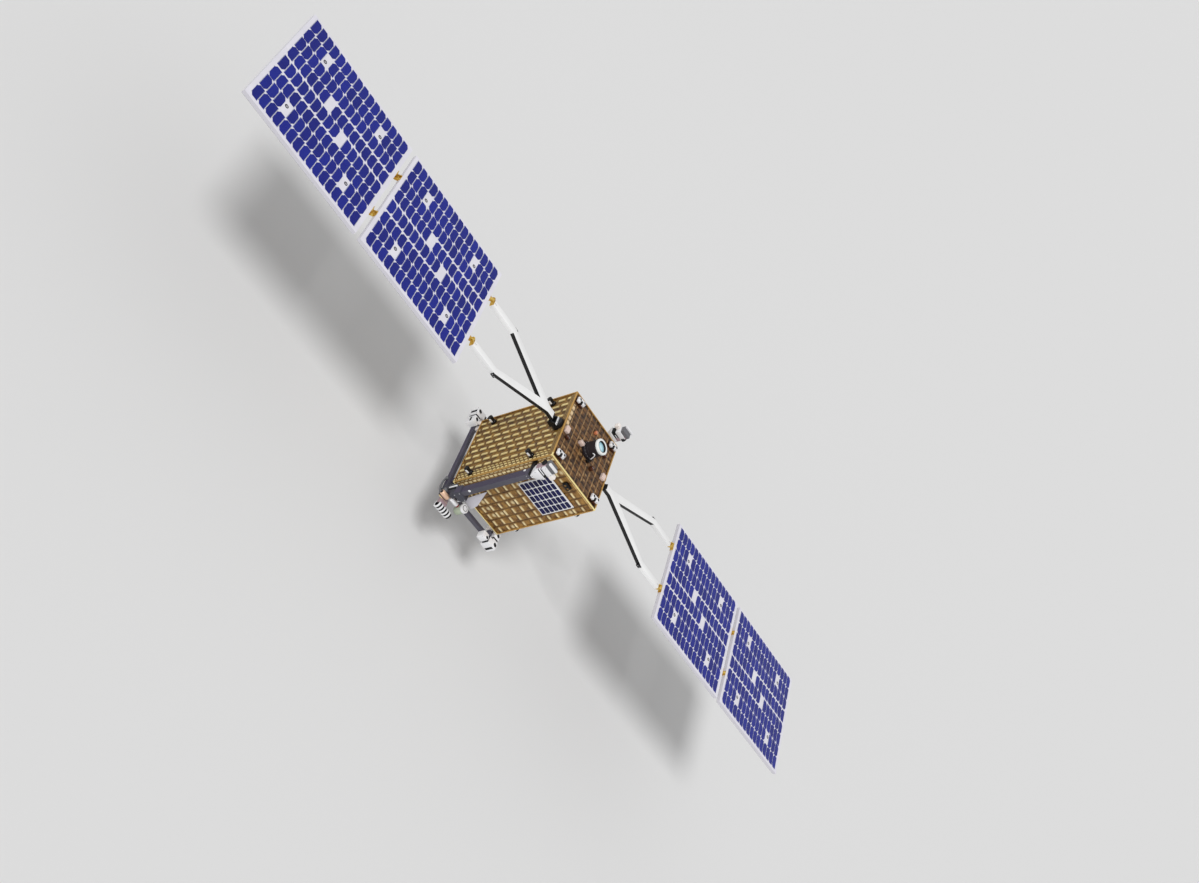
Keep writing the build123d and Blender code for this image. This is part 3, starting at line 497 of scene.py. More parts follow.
def block(low, high, along=2, radius=2.0, steps=2, paint=0):
    # a block with round edges: four quarter circles make its section, drawn in by another at both ends
    low, high = np.array(low, float), np.array(high, float)
    low, high = np.minimum(low, high), np.maximum(low, high)
    sides = [axis for axis in range(3) if axis != along]
    radius = min(radius, 0.45 * (high - low).min())
    turn = quarter(steps)
    right = math.pi / 2
    angle = (np.linspace(0, right, steps + 1) + right * np.arange(4)[:, None]).ravel()
    signs = np.repeat([[1, 1], [-1, 1], [-1, -1], [1, -1]], steps + 1, axis=0)
    middle, half = ((low + high) / 2)[sides], ((high - low) / 2)[sides] - radius
    reach = radius * np.sin(np.concatenate([turn, turn[::-1]]))
    drawn = radius * (1 - np.cos(turn))
    place = np.concatenate([low[along] + drawn, high[along] - drawn[::-1]])
    flat = middle + signs * half + reach[:, None, None] * np.stack([np.cos(angle), np.sin(angle)], axis=-1)
    rings = np.empty(flat.shape[:2] + (3,))
    rings[..., sides], rings[..., along] = flat, place[:, None]
    return stacked(rings, paint)


def squareTo(direction):
    # the direction at length one, and two more that stand square to it and to each other
    axis = np.array(direction, float) / np.linalg.norm(direction)
    first = np.cross(axis, np.eye(3)[np.argmin(abs(axis))])
    first /= np.linalg.norm(first)
    return axis, first, np.cross(axis, first)


def turned(profile, foot, direction, segments=28, paint=0, closed=False):
    # a round body: (height, radius) pairs carried round an axis that starts at the foot; closed makes a ring
    profile = np.array(profile, float)
    axis, first, second = squareTo(direction)
    angle = np.linspace(0, 2 * math.pi, segments, endpoint=False)[:, None]
    spoke = np.cos(angle) * first + np.sin(angle) * second
    radii = np.maximum(profile[:, 1], 0.05)[:, None, None]
    rings = np.array(foot) + profile[:, 0, None, None] * axis + radii * spoke
    if not closed:
        return stacked(rings, paint)
    return rings.reshape(-1, 3), [(gridFaces(len(profile), segments, True, True), paint)]


def hoop(low, high, outer, inner, foot, direction, segments=28, paint=0, edge=0.8):
    # a flat ring with its outer corners cut
    half = edge / 2
    profile = [(low, inner), (low, outer), (high - edge, outer), (high, outer - edge), (high, inner + half),
               (high - half, inner)]
    return turned(profile, foot, direction, segments, paint, True)


def barrel(low, high, radius, foot, direction, segments=28, paint=0, edge=0.8):
    # a solid cylinder with cut corners
    profile = [(low, radius - edge), (low + edge, radius), (high - edge, radius), (high, radius - edge)]
    return turned(profile, foot, direction, segments, paint)


def tube(path, radius, around=10, paint=0):
    # a circle carried along a path, square to it all the way
    path = np.array(path, float)
    heading = np.gradient(path, axis=0)
    heading /= np.linalg.norm(heading, axis=1, keepdims=True)
    helper = np.eye(3)[np.argmin(abs(heading).sum(axis=0))]
    first = np.cross(heading, helper)
    first /= np.linalg.norm(first, axis=1, keepdims=True)
    second = np.cross(heading, first)
    angle = np.linspace(0, 2 * math.pi, around, endpoint=False)
    circle = np.cos(angle)[None, :, None] * first[:, None] + np.sin(angle)[None, :, None] * second[:, None]
    return stacked(path[:, None] + radius * circle, paint)


def ringTube(centre, direction, ringRadius, radius, paint=0, around=32, section=10):
    # a torus: a small circle carried round a large one
    axis, first, second = squareTo(direction)
    angle = np.linspace(0, 2 * math.pi, around, endpoint=False)[:, None, None]
    small = np.linspace(0, 2 * math.pi, section, endpoint=False)[None, :, None]
    spoke = np.cos(angle) * first + np.sin(angle) * second
    points = np.array(centre) + spoke * (ringRadius + radius * np.cos(small)) + axis * radius * np.sin(small)
    return points.reshape(-1, 3), [(gridFaces(around, section, True, True), paint)]


def inset(outline, amount):
    # every corner moves in along its bisector, so that both of its edges move in by the amount
    outline = np.array(outline, float)
    ahead = np.roll(outline, -1, axis=0) - outline
    ahead /= np.linalg.norm(ahead, axis=1, keepdims=True)
    normal = np.stack([-ahead[:, 1], ahead[:, 0]], axis=1)
    before = np.roll(normal, 1, axis=0)
    return outline + amount * (normal + before) / (1 + (normal * before).sum(axis=1, keepdims=True))


def plate(outline, low, high, across=(1, 0, 0), up=(0, 1, 0), origin=(0, 0, 0), bevel=1.0, steps=2, paint=0,
          sides=None):
    # an outline carried through its thickness, drawn in by a quarter circle at both faces
    across, up, outline = np.array(across, float), np.array(up, float), np.array(outline, float)
    x, y = outline.T
    if (x * np.roll(y, -1) - y * np.roll(x, -1)).sum() < 0:
        outline = outline[::-1]
        sides = None if sides is None else np.roll(np.array(sides)[::-1], -1)
    turn = quarter(steps)
    drawn = bevel * (1 - np.sin(turn))
    depth = bevel * (1 - np.cos(turn))
    height = np.concatenate([low + depth, high - depth[::-1]])[:, None, None]
    flat = np.stack([inset(outline, amount) for amount in np.concatenate([drawn, drawn[::-1]])])
    rings = np.array(origin) + flat[..., :1] * across + flat[..., 1:] * up + height * np.cross(across, up)
    points, blocks = stacked(rings, paint)
    if sides is None:
        return points, blocks
    walls = blocks[0][0].reshape(-1, len(outline), 4)
    rims = np.delete(walls, steps, axis=0).reshape(-1, 4)
    painted = [(walls[steps][np.array(sides) == number], number) for number in sorted(set(sides))]
    return points, [(rims, paint), *painted, blocks[1]]


def bored(outline, bore, low, high, origin, across, up, paint=0):
    # a leaf round a bore: every point of its outline is paired with the bore's point at the same angle
    outline = np.array(outline, float)
    circle = bore * outline / np.linalg.norm(outline, axis=1, keepdims=True)
    flat = np.stack([outline, outline, circle, circle])
    height = np.array([low, high, high, low])[:, None, None]
    across, up = np.array(across, float), np.array(up, float)
    points = np.array(origin) + flat[..., :1] * across + flat[..., 1:] * up + height * np.cross(across, up)
    return points.reshape(-1, 3), [(gridFaces(4, len(outline), True, True), paint)]


def joined(*shapes):
    points, blocks, start = [], [], 0
    for ownPoints, ownBlocks in shapes:
        points.append(ownPoints)
        blocks += [(faces + start, paint) for faces, paint in ownBlocks]
        start += len(ownPoints)
    return np.concatenate(points), blocks


def repeated(shape, offsets):
    # the same shape at every offset
    points, blocks = shape
    offsets = np.array(offsets, float)
    starts = np.arange(len(offsets))[:, None, None] * len(points)
    copies = [((faces[None] + starts).reshape(-1, faces.shape[1]), paint) for faces, paint in blocks]
    return (points[None] + offsets[:, None]).reshape(-1, 3), copies


def scaled(shape, factors):
    return shape[0] * np.array(factors, float), shape[1]


def halfTurned(shape):
    # the shape and its copy at the diagonal corner
    return joined(shape, scaled(shape, (-1, -1, 1)))


def mirrored(shape):
    # the shape and its copy on the other wing's side
    return joined(shape, scaled(shape, (-1, 1, 1)))


def onCircle(angles, radius, centre=(0, 0)):
    # pairs of coordinates at these angles
    return [(centre[0] + radius * math.cos(angle), centre[1] + radius * math.sin(angle)) for angle in angles]


def fourPlaces(x, y, z=0):
    # the same place at all four corners
    return [(sx * x, sy * y, z) for sx in (-1, 1) for sy in (-1, 1)]


def bolts(places, direction, radius=2.6, height=2.0, paint=0):
    # hexagon heads on round washers
    profile = [(0.3, radius), (height * 0.8, radius), (height, radius * 0.8)]
    head = turned(profile, (0, 0, 0), direction, 6, paint)
    washer = turned([(0, radius * 1.5), (0.5, radius * 1.5)], (0, 0, 0), direction, 14, paint)
    return repeated(joined(washer, head), places)


def addPiece(name, shape, finishes, stands="", sharp=35, marks=None, body="bus"):
    # puts a shape down in metres as a mesh that rides on its body, in place of the solid that it stands for
    points, blocks = shape
    mesh = bpy.data.meshes.new(name)
    mesh.from_pydata((points * mm).tolist(), [], [face for faces, _ in blocks for face in faces.tolist()])
    paint = np.concatenate([np.full(len(faces), number, np.int32) for faces, number in blocks])
    mesh.polygons.foreach_set("material_index", paint)
    for key, values in (marks or {}).items():
        mesh.attributes.new(key, "FLOAT", "POINT").data.foreach_set("value", values.astype(np.float32))
    work = bmesh.new()
    work.from_mesh(mesh)
    bmesh.ops.recalc_face_normals(work, faces=work.faces)
    work.to_mesh(mesh)
    work.free()
    mesh.polygons.foreach_set("use_smooth", np.ones(len(mesh.polygons), bool))
    mesh.set_sharp_from_angle(angle=math.radians(sharp))
    for finish in finishes:
        mesh.materials.append(looks[finish])
    piece = bpy.data.objects.new(name, mesh)
    bpy.context.scene.collection.objects.link(piece)
    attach(piece, body)
    if stands:
        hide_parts(stands)
    return piece


def dress(node, finish):
    # a carried-over solid keeps its shape and gets its finish
    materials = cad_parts[node].data.materials
    materials.clear()
    materials.append(looks[finish])


# Quilted blankets: height fields over the six faces of the body
quilting = {
    "step": 3.6,             # spacing of the grid's points
    "shadedSeam": 3.2,             # thickness at the seams
    "crown": 8.0,            # and on the crests
    "rim": 4.0,              # thickness under the rails' lips
    "tuck": 7.0,             # width over which a blanket tucks in round a cut-out
    "thin": 0.6,             # what is left of it inside the cut-out
    "crumple": 0.7,
}
# pitch across the rows, pitch along them and half width of a ridge, for the face and for its denser part
sideStitch = {"plain": (44.0, 57.0, 8.0), "dense": (19.0, 25.0, 5.2), "denseWidth": 46.0, "hem": 25.0}
frontStitch = {"row": 52.5, "dash": 51.0, "ridge": 5.4, "hem": 8.0, "puffs": (20.0, 27.0, 6.0),
               "puffsTo": -160.0}
deckStitch = {"row": 36.0, "dash": 40.0, "cord": 2.6, "stroke": 5.0, "paleFrom": -172.0,
              "paleY": (-30.0, 150.0)}
aftStitch = {"plain": (60.0, 60.0, 5.0)}


def rippled(u, v, seed, waves=26, short=14.0, long=70.0):
    # crumpling: the sum of many small waves of random heading, length and phase
    draw = np.random.default_rng(seed)
    heading = draw.uniform(0, math.pi, waves)
    number = 2 * math.pi / draw.uniform(short, long, waves)
    phase = draw.uniform(0, 2 * math.pi, waves)
    along = u[..., None] * np.cos(heading) + v[..., None] * np.sin(heading)
    return np.abs(np.sin(along * number + phase)).mean(axis=-1) * 2 - 1.27


def fraction(values, pitch):
    return values / pitch - np.floor(values / pitch)


def luckOf(first, second):
    # a number between 0 and 1 for every whole pair, the same each time
    return np.sin(first * 12.9898 + second * 78.233) * 43758.5453 % 1


def dashes(u, v, row, dash, ridge):
    # staggered tufts: a short ridge along v in the middle of every row of u, with a painted highlight on its
    # crest and a painted shadow at its far side
    number = np.floor(u / row)
    along = v + (0.5 * (number % 2) + 0.16 * luckOf(number, 3.0)) * dash
    fu, fv = fraction(u, row), fraction(along, dash)
    luck = luckOf(number, np.floor(along / dash))
    off, end = (fu - 0.5) * row + (luck - 0.5) * 0.3 * ridge, np.abs(2 * fv - 1)
    crestHighlight = np.exp(-((off / ridge) ** 4))
    run = np.clip(1.7 - 2.5 * end ** 2.4, 0, 1)
    pillow = (1 - np.abs(2 * fu - 1) ** 2.5) * (1 - end ** 4)
    foldShadow = np.exp(-(((off - 1.75 * ridge) / (0.6 * ridge)) ** 2)) * (0.35 + 0.65 * run)
    # painted shade in the gaps between the tufts' ends
    gap = np.clip((end - 0.74) / 0.16, 0, 1) * np.exp(-((off / (1.3 * ridge)) ** 2))
    shadedSeam = np.maximum(0.85 * foldShadow, 0.6 * gap)
    # height, the painted highlight along each crest, and the painted shade of the fold and the gaps
    return 0.4 * pillow + 0.6 * crestHighlight * run, crestHighlight * run * (0.76 + 0.24 * luck), shadedSeam


def sidePattern(u, v, y, z):
    # staggered dashes, denser beside the long boom, and a ribbed hem under the deck's edge
    strip = y < skinLow[1] + sideStitch["denseWidth"]
    pairs = zip(dashes(u, v, *sideStitch["dense"]), dashes(u, v, *sideStitch["plain"]))
    height, crestHighlight, shadedSeam = (np.where(strip, dense, plain) for dense, plain in pairs)
    toEdge = skinHigh[2] - z
    hem = toEdge < sideStitch["hem"]
    rib = np.abs(np.sin(toEdge / sideStitch["hem"] * 2 * math.pi))
    # on the hem: a faint painted highlight on the ribs and painted shade between them
    height, crestHighlight = np.where(hem, 0.75 * rib, height), np.where(hem, 0.18 * rib, crestHighlight)
    return height, crestHighlight, np.where(hem, 0.5 * (1 - rib), shadedSeam), hem * 0.6


def frontPattern(u, v, x, z):
    # square tufts: a welt along u at the head of each square with a painted highlight on it, painted shade in
    # the seams along v and under each welt, a few random patches of painted highlight, and large puffs with
    # painted highlights beside the long boom
    fu, fv = fraction(u, frontStitch["dash"]), fraction(v, frontStitch["row"])
    luck = luckOf(np.floor(u / frontStitch["dash"]), np.floor(v / frontStitch["row"]))
    toWelt = (fv - 0.82) * frontStitch["row"]
    end = np.abs(2 * fu - 1)
    run = np.clip(1.6 - 2.4 * end ** 2.2, 0, 1)
    crestHighlight = np.exp(-((toWelt / frontStitch["ridge"]) ** 4)) * run * (0.8 + 0.2 * luck)
    puffHighlight = (luck > 0.84) * np.exp(-(((fu - 0.45) / 0.24) ** 2 + ((fv - 0.42) / 0.2) ** 2) ** 2)
    pillow = (1 - end ** 4) * (1 - np.abs(2 * fv - 1) ** 4)
    shadedSeam = np.exp(-(((end - 1) * frontStitch["dash"] / 9.0) ** 2))
    # painted shadow under each welt
    shadedSeam = np.maximum(shadedSeam, 0.9 * np.exp(-(((toWelt + 10) / 3.6) ** 2)) * (0.4 + 0.6 * run))
    height, crestHighlight = np.maximum(0.6 * pillow, crestHighlight), np.maximum(crestHighlight, 0.7 * puffHighlight)
    puffs = dashes(x, z, *frontStitch["puffs"])
    beside = x < frontStitch["puffsTo"]
    height, crestHighlight, shadedSeam = (np.where(beside, near, far) for near, far in zip(puffs, (height, crestHighlight, shadedSeam)))
    hem = np.abs(skinHigh[2] - z) < frontStitch["hem"]
    return height, crestHighlight, shadedSeam * (1 - hem), hem * 0.7


def deckPattern(u, v, x, y):
    # brown tufts between thin pale cords along y and dark strokes along x, some of them paler than others:
    # the cords are partly their own tan and partly painted highlight, the strokes are painted shade in the
    # seams, and a few pale patches are painted highlights
    fu, fv = fraction(u, deckStitch["dash"]), fraction(v, deckStitch["row"])
    luck = luckOf(np.floor(u / deckStitch["dash"]), np.floor(v / deckStitch["row"]))
    pillow = (1 - np.abs(2 * fu - 1) ** 3) * (1 - np.abs(2 * fv - 1) ** 3)
    cord = np.exp(-((np.minimum(fu, 1 - fu) * deckStitch["dash"] / deckStitch["cord"]) ** 2))
    stroke = np.exp(-((np.minimum(fv, 1 - fv) * deckStitch["row"] / deckStitch["stroke"]) ** 4))
    patchHighlight = (luck > 0.86) * np.exp(-(((fu - 0.4) / 0.16) ** 2 + ((fv - 0.6) / 0.14) ** 2))
    paleLow, paleHigh = deckStitch["paleY"]
    pale = (x < deckStitch["paleFrom"]) & (y > paleLow) & (y < paleHigh)
    crestHighlight = cord * (0.35 + 0.5 * luck) + 0.75 * patchHighlight
    shadedSeam = np.where(pale, 0.3, 1.0) * np.maximum(stroke * (1 - 0.8 * cord), 0.0)
    return pillow, crestHighlight, shadedSeam, pale * 0.9 * pillow


def aftPattern(u, v, x, y):
    # the crests' painted highlight at half strength, and painted shade in the folds and gaps; no band
    height, crestHighlight, shadedSeam = dashes(u, v, *aftStitch["plain"])
    return height, 0.5 * crestHighlight, shadedSeam, 0 * shadedSeam


def discCut(axes, at, radius):
    # a blanket's cut-out: how far the face's points are outside a disc, in the plane of two axes
    return lambda face: np.hypot(*(face[..., axis] - spot for axis, spot in zip(axes, at))) - radius


def boxCut(axes, low, high):
    # the same for a rectangle
    def gap(face):
        beyond = (np.maximum(near - face[..., axis], face[..., axis] - far)
                  for axis, near, far in zip(axes, low, high))
        return np.hypot(*(np.maximum(distance, 0) for distance in beyond))
    return gap


def quilt(name, finish, stands, centre, across, up, size, pattern, cuts, seed):
    # the face's own u and v make the grid, and the pattern's height stands on it along across x up
    across, up, centre = (np.array(part, float) for part in (across, up, centre))
    columns, rows = (int(round(side / quilting["step"])) + 1 for side in size)
    u, v = np.meshgrid(np.linspace(-0.5, 0.5, columns) * size[0], np.linspace(-0.5, 0.5, rows) * size[1])
    face = centre + u[..., None] * across + v[..., None] * up
    flat = [axis for axis in range(3) if abs(np.cross(across, up)[axis]) < 0.5]
    share, crestHighlight, shadedSeam, band = pattern(u, v, face[..., flat[0]], face[..., flat[1]])
    height = quilting["shadedSeam"] + (quilting["crown"] - quilting["shadedSeam"]) * share
    height = height + quilting["crumple"] * rippled(u, v, seed)
    border = np.minimum(size[0] / 2 - np.abs(u), size[1] / 2 - np.abs(v))
    height = np.where(border < quilting["step"], np.minimum(height, quilting["rim"]), height)
    for gap in cuts:
        tuck = np.clip(gap(face) / quilting["tuck"], 0, 1)
        tuck = tuck * tuck * (3 - 2 * tuck)
        height = quilting["thin"] + (height - quilting["thin"]) * tuck
        # painted shade where the blanket tucks in round a cut-out, and no painted highlight there
        crestHighlight, shadedSeam = crestHighlight * tuck, np.maximum(shadedSeam, 0.6 * (1 - tuck))
    outward = np.cross(across, up)
    points = (face + height[..., None] * outward).reshape(-1, 3)
    number = np.arange(rows * columns).reshape(rows, columns)
    edge = np.concatenate([number[0, :-1], number[:-1, -1], number[-1, :0:-1], number[:0:-1, 0]])
    lowered = face.reshape(-1, 3)[edge] + 0.1 * outward
    start, count = rows * columns, len(edge)
    ahead = np.roll(np.arange(count), -1)
    skirt = np.stack([edge, start + np.arange(count), start + ahead, edge[ahead]], axis=1)
    fan = np.stack([start + np.arange(count), np.full(count, start + count), start + ahead], axis=1)
    points = np.concatenate([points, lowered, [centre + 0.1 * outward]])
    shape = points, [(gridFaces(rows, columns), 0), (skirt, 0), (fan, 0)]
    extra = np.zeros(count + 1)
    marks = {
        key: np.concatenate([values.ravel(), extra])
        for key, values in (("crestHighlight", crestHighlight), ("shadedSeam", shadedSeam), ("band", band))
    }
    addPiece(name, shape, [finish], stands, 60, marks)


collarRadius = boxOf("drive_collars")[1][1]
postLow, postHigh = boxOf("holddown_posts")
standoff = {"x": 180.0, "halfX": 8.5, "low": -85.5, "high": -58.5}
posts = {
    "footRadius": 15.0,
    # distance along X and radius, from the foot's edge over the neck and the cup to the cup's floor
    "profile": ((203.2, 15), (204, 14.2), (204, 12.8), (206, 12.2), (217, 12.2), (219, 13), (221, 14),
                (234, 14), (235, 13), (235, 8.4), (231.5, 6.6), (231.5, 3.2), (233, 2.6), (233, 0)),
    "screwCircle": 12.6,
    "screwAngles": np.arange(0.4, 6.3, 1.571),    # radians, a quarter turn apart
}
posts["y"] = postHigh[1] - posts["footRadius"]
posts["z"] = (postLow[2] + posts["footRadius"], postHigh[2] - posts["footRadius"])
twinLow, twinHigh = boxOf("twin_sensor")


def sideCuts():
    # the drive collar and the feet of the four posts
    places = [(y, z) for y in (-posts["y"], posts["y"]) for z in posts["z"]]
    feet = [discCut((1, 2), place, posts["footRadius"]) for place in places]
    return [discCut((1, 2), (0, 0), collarRadius + 1), *feet]


def frontCuts(side):
    # the stand-off of the long boom, and on the front face the twin sensor
    x, half = standoff["x"] * side, standoff["halfX"]
    cuts = [boxCut((0, 2), (x - half, standoff["low"]), (x + half, standoff["high"]))]
    if side < 0:
        cuts.append(boxCut((0, 2), twinLow[[0, 2]], twinHigh[[0, 2]]))
    return cuts


middle = (skinLow + skinHigh) / 2
faceSize = skinHigh - skinLow
for side, name, seed in ((-1, "quiltLeft", 3), (1, "quiltRight", 4)):
    at = (side * skinHigh[0], 0, middle[2])
    quilt(name, "sideFoil", "side_blankets", at, (0, side, 0), (0, 0, 1), faceSize[[1, 2]],
          sidePattern, sideCuts(), seed)
for side, name, seed in ((-1, "quiltFront", 5), (1, "quiltBack", 6)):
    at = (0, side * skinHigh[1], middle[2])
    quilt(name, "frontFoil", "side_blankets", at, (-side, 0, 0), (0, 0, 1), faceSize[[0, 2]],
          frontPattern, frontCuts(side), seed)
print("side quilts laid")


# Both decks' quilts, then what stands on the forward one: telescope, thruster pods and small fittings
telescope = {
    "foot": 46.0, "footEnd": 52.0, "tube": 42.0, "end": 116.0, "bolts": 16, "boltCircle": 43.2,
    "groove": (68.0, 73.0, -1.2),    # from, to, and how far the wall goes in
    "band": (104.0, 111.0, 1.0),     # from, to, and how far it stands out
}
deckPod = {
    "x": 159.0, "y": 190.0, "half": (27.0, 20.0), "base": 50.0, "body": 60.0, "end": 66.0,
    "moduleAt": (17.5, 3.0), "module": (9.5, 16.0), "port": (10.0, 7.4),
}
deckBoxes = {
    # x, y, size along x and y, top, and the number of its finish
    "bridge": (-52, -2, 30, 18, 60, 0),
    "tall": (75, -56, 16, 22, 56, 4),
    "edge": (133, 91, 18, 14, 54, 4),
    "rear": (19, 148, 14, 18, 54, 5),
    "low": (-150, -60, 20, 14, 52, 4),
}
cover = {"x": 170.0, "y": -25.0, "half": (13.0, 19.0), "end": 56.0, "screw": 2.8}
eyelet = {"at": (31.0, -48.0, 62.0), "ring": 6.8, "wire": 2.2, "foot": (9.0, 2.5), "hookWire": 2.6}
aftSeats = {"ring": 160.5, "foot": (178.0, 196.0), "footHalf": 13.0}
deckTop = skinHigh[2]
upward, outBack, outFront, outLeft, along = (0, 0, 1), (0, 1, 0), (0, -1, 0), (-1, 0, 0), (1, 0, 0)


def deckCuts():
    cuts = [discCut((0, 1), (mouth["x"], mouth["y"]), telescope["foot"] + 1)]
    boxes = [(x, y, a / 2, b / 2) for x, y, a, b, *_ in deckBoxes.values()]
    boxes += [(side * cover["x"], cover["y"], *cover["half"]) for side in (-1, 1)]
    boxes += [(x, y, *deckPod["half"]) for x, y, _ in fourPlaces(deckPod["x"], deckPod["y"])]
    boxes += [(*eyelet["at"][:2], *eyelet["foot"])]
    return cuts + [boxCut((0, 1), (x - a - 1, y - b - 1), (x + a + 1, y + b + 1)) for x, y, a, b in boxes]


def aftCuts():
    half, places = aftSeats["footHalf"], fourPlaces(*aftSeats["foot"])
    boxes = [boxCut((0, 1), (x - half, y - half), (x + half, y + half)) for x, y, _ in places]
    return [discCut((0, 1), (0, 0), aftSeats["ring"]), *boxes]


quilt("quiltDeck", "deckFoil", "forward_blanket", (0, 0, deckTop), (1, 0, 0), (0, 1, 0),
      faceSize[:2], deckPattern, deckCuts(), 7)
quilt("quiltAft", "frontFoil", "aft_blanket", (0, 0, skinLow[2]), (-1, 0, 0), (0, 1, 0),
      faceSize[:2], aftPattern, aftCuts(), 8)

centre = (mouth["x"], mouth["y"], 0)
flange, flangeEnd, radius, end = (telescope[key] for key in ("foot", "footEnd", "tube", "end"))
(grooveLow, grooveHigh, sunk), (bandLow, bandHigh, proud) = telescope["groove"], telescope["band"]
spots = np.linspace(0, 2 * math.pi, telescope["bolts"], endpoint=False)
boltPlaces = [(x, y, flangeEnd) for x, y in onCircle(spots, telescope["boltCircle"], centre)]
tubeProfile = [
    (deckTop, flange - 1), (deckTop + 1, flange), (flangeEnd - 1, flange), (flangeEnd, flange - 1),
    (flangeEnd, radius + 1.5), (flangeEnd + 1.5, radius), (grooveLow, radius), (grooveLow + 1, radius + sunk),
    (grooveHigh - 1, radius + sunk), (grooveHigh, radius), (bandLow, radius), (bandLow + 1, radius + proud),
    (bandHigh - 1, radius + proud), (bandHigh, radius), (end - 1, radius), (end, radius - 1),
]
tubeShape = joined(turned(tubeProfile, centre, upward, 72), bolts(boltPlaces, upward, 1.3, 1.6, 1))
addPiece("telescopeTube", tubeShape, ["tubeBlack", "boltSteel"], "telescope_tube")
low, high, bore, outer, edge = (mouth[key] for key in ("low", "high", "bore", "outer", "edge"))
mouthProfile = [(low, bore), (low, radius), (low + mouth["flare"], outer), (high - edge, outer),
                (high, outer - edge), (high, bore + edge), (high - edge, bore)]
mouthShape = joined(
    turned(mouthProfile, centre, upward, 72, 0, True),
    hoop(low + 3, high - 0.8, bore + 1.7, bore - 1.8, centre, upward, 72, 1, 0.4),
)
addPiece("telescopeMouth", mouthShape, ["mouthWhite", "blackAndBoreShade"], "telescope_mouth", 50)
glass, rise = mouth["glass"], mouth["dome"]
domeProfile = [(low, glass - 0.4), (low + 1, glass)]
domeProfile += [(low + 1 + rise * math.sin(a), glass * math.cos(a) ** 0.8)
                for a in np.linspace(0, math.pi / 2, 9)[:-1]]
domeProfile += [(low + 1 + rise, 0.4)]
addPiece("telescopeGlass", turned(domeProfile, centre, upward, 64), ["windowGlass"],
         "telescope_glass", 60)
print("telescope made")


def deckPodShape():
    # one corner's pod: a dark base, two white modules with a port each, and a bridge over the gap between
    (halfX, halfY), (wide, long) = deckPod["half"], deckPod["module"]
    low, top, end = deckPod["base"], deckPod["body"], deckPod["end"]
    parts = [
        block((2 - halfX, 3 - halfY, deckTop), (-4, halfY - 3, low), 2, 1.5, 2, 3),
        block((4, 3 - halfY, deckTop), (halfX - 2, halfY - 3, low), 2, 1.5, 2, 3),
        block((-10, -13, deckTop), (10, 14, top - 2), 2, 1.5, 2, 1),
        block((-8, 6, low), (8, 16, top + 1), 0, 2, 2, 0),
        barrel(low, top + 1, 5.4, (0, -4, 0), upward, 28, 1, 1.6),
    ]
    for side in (-1, 1):
        x, y = (side * value for value in deckPod["moduleAt"])
        parts += [
            block((x - wide, y - long, low - 3), (x + wide, y + long, top), 2, 2.5, 3, 0),
            hoop(top, end, *deckPod["port"], (x, y, 0), upward, 32, 0, 1.2),
            # a black disc just inside the port: painted shade of its bore
            barrel(top - 1, end - 1.2, deckPod["port"][1] + 0.1, (x, y, 0), upward, 28, 1, 0.6),
            bolts([(x, -12 * side, top)], upward, 1.3, 1.4, 2),
        ]
    return joined(*parts)


addPiece("deckPods", repeated(deckPodShape(), fourPlaces(deckPod["x"], deckPod["y"])),
         ["podWhite", "blackAndBoreShade", "boltSteel", "fittingBrown"], "deck_thruster_pods", 45)

parts = []
for x, y, a, b, top, paint in deckBoxes.values():
    parts.append(block((x - a / 2, y - b / 2, deckTop), (x + a / 2, y + b / 2, top), 2, 1.6, 2, paint))
    parts.append(bolts([(x - a / 2 + 3.6, y, top), (x + a / 2 - 3.6, y, top)], upward, 1.4, 1.2, 1))
x, y, z = eyelet["at"]
a, b = eyelet["foot"]
bend = np.linspace(0, 1, 18)
hookPath = np.stack([x - 4 - 26 * bend, y + 3 + 6 * bend ** 2, z + 4 + 36 * np.sin(2.2 * bend)], axis=1)
parts += [
    block((x - a, y - b, deckTop), (x + a, y + b, z - eyelet["ring"] - 0.6), 2, 1.0, 1, 2),
    ringTube((x, y, z), outBack, eyelet["ring"], eyelet["wire"], 2),
    tube(hookPath, eyelet["hookWire"], 12, 3),
]
addPiece("deckFittings", joined(*parts),
         ["coverTan", "boltSteel", "blackAnodised", "podWhite", "fittingBrown", "spotOrange"],
         "deck_fittings", 45)

(x, y, end), (a, b) = (cover[key] for key in ("x", "y", "end")), cover["half"]
places = [(x + dx, y + dy, end) for dx, dy, _ in fourPlaces(a - cover["screw"], b - cover["screw"])]
coverShape = joined(
    block((x - a, y - b, deckTop), (x + a, y + b, end), 2, 3, 3),
    block((x - a + 4, y - b + 5, end), (x + a - 4, y + b - 5, end + 1.2), 2, 1, 1),
    bolts(places, upward, 1.2, 1.2, 1),
)
addPiece("driveCovers", mirrored(coverShape), ["coverTan", "boltSteel"], "drive_covers", 45)
print("deck fitted out")


# Front face: solar panel, gusset and twin sensor
bodyPanel = {
    "x": (-87, 144), "z": (-241, -49), "back": 233.3, "face": 239.3, "screw": 3.4,
    "cells": (5, 7), "gap": 4.8, "margin": 7, "cellThick": 1.2, "crop": 4.0,
}
back, face = bodyPanel["back"], bodyPanel["face"]
(xLow, xHigh), (zLow, zHigh) = bodyPanel["x"], bodyPanel["z"]
inward = bodyPanel["screw"]
panelOutline = [(xLow, zLow), (xHigh, zLow), (xHigh, zHigh), (xLow, zHigh)]
screws = [(x, -face, z) for x in (xLow + inward, (xLow + xHigh) / 2, xHigh - inward)
          for z in (zLow + inward, zHigh - inward)]
board = plate(panelOutline, back, face, along, upward, bevel=0.8)
addPiece("bodyPanel", joined(board, bolts(screws, outFront, 1.2, 1.0, 1)), ["podWhite", "boltSteel"],
         "body_solar_panel")
(columns, rows), gap, margin = bodyPanel["cells"], bodyPanel["gap"], bodyPanel["margin"]
stepX = (xHigh - xLow - 2 * margin + gap) / columns
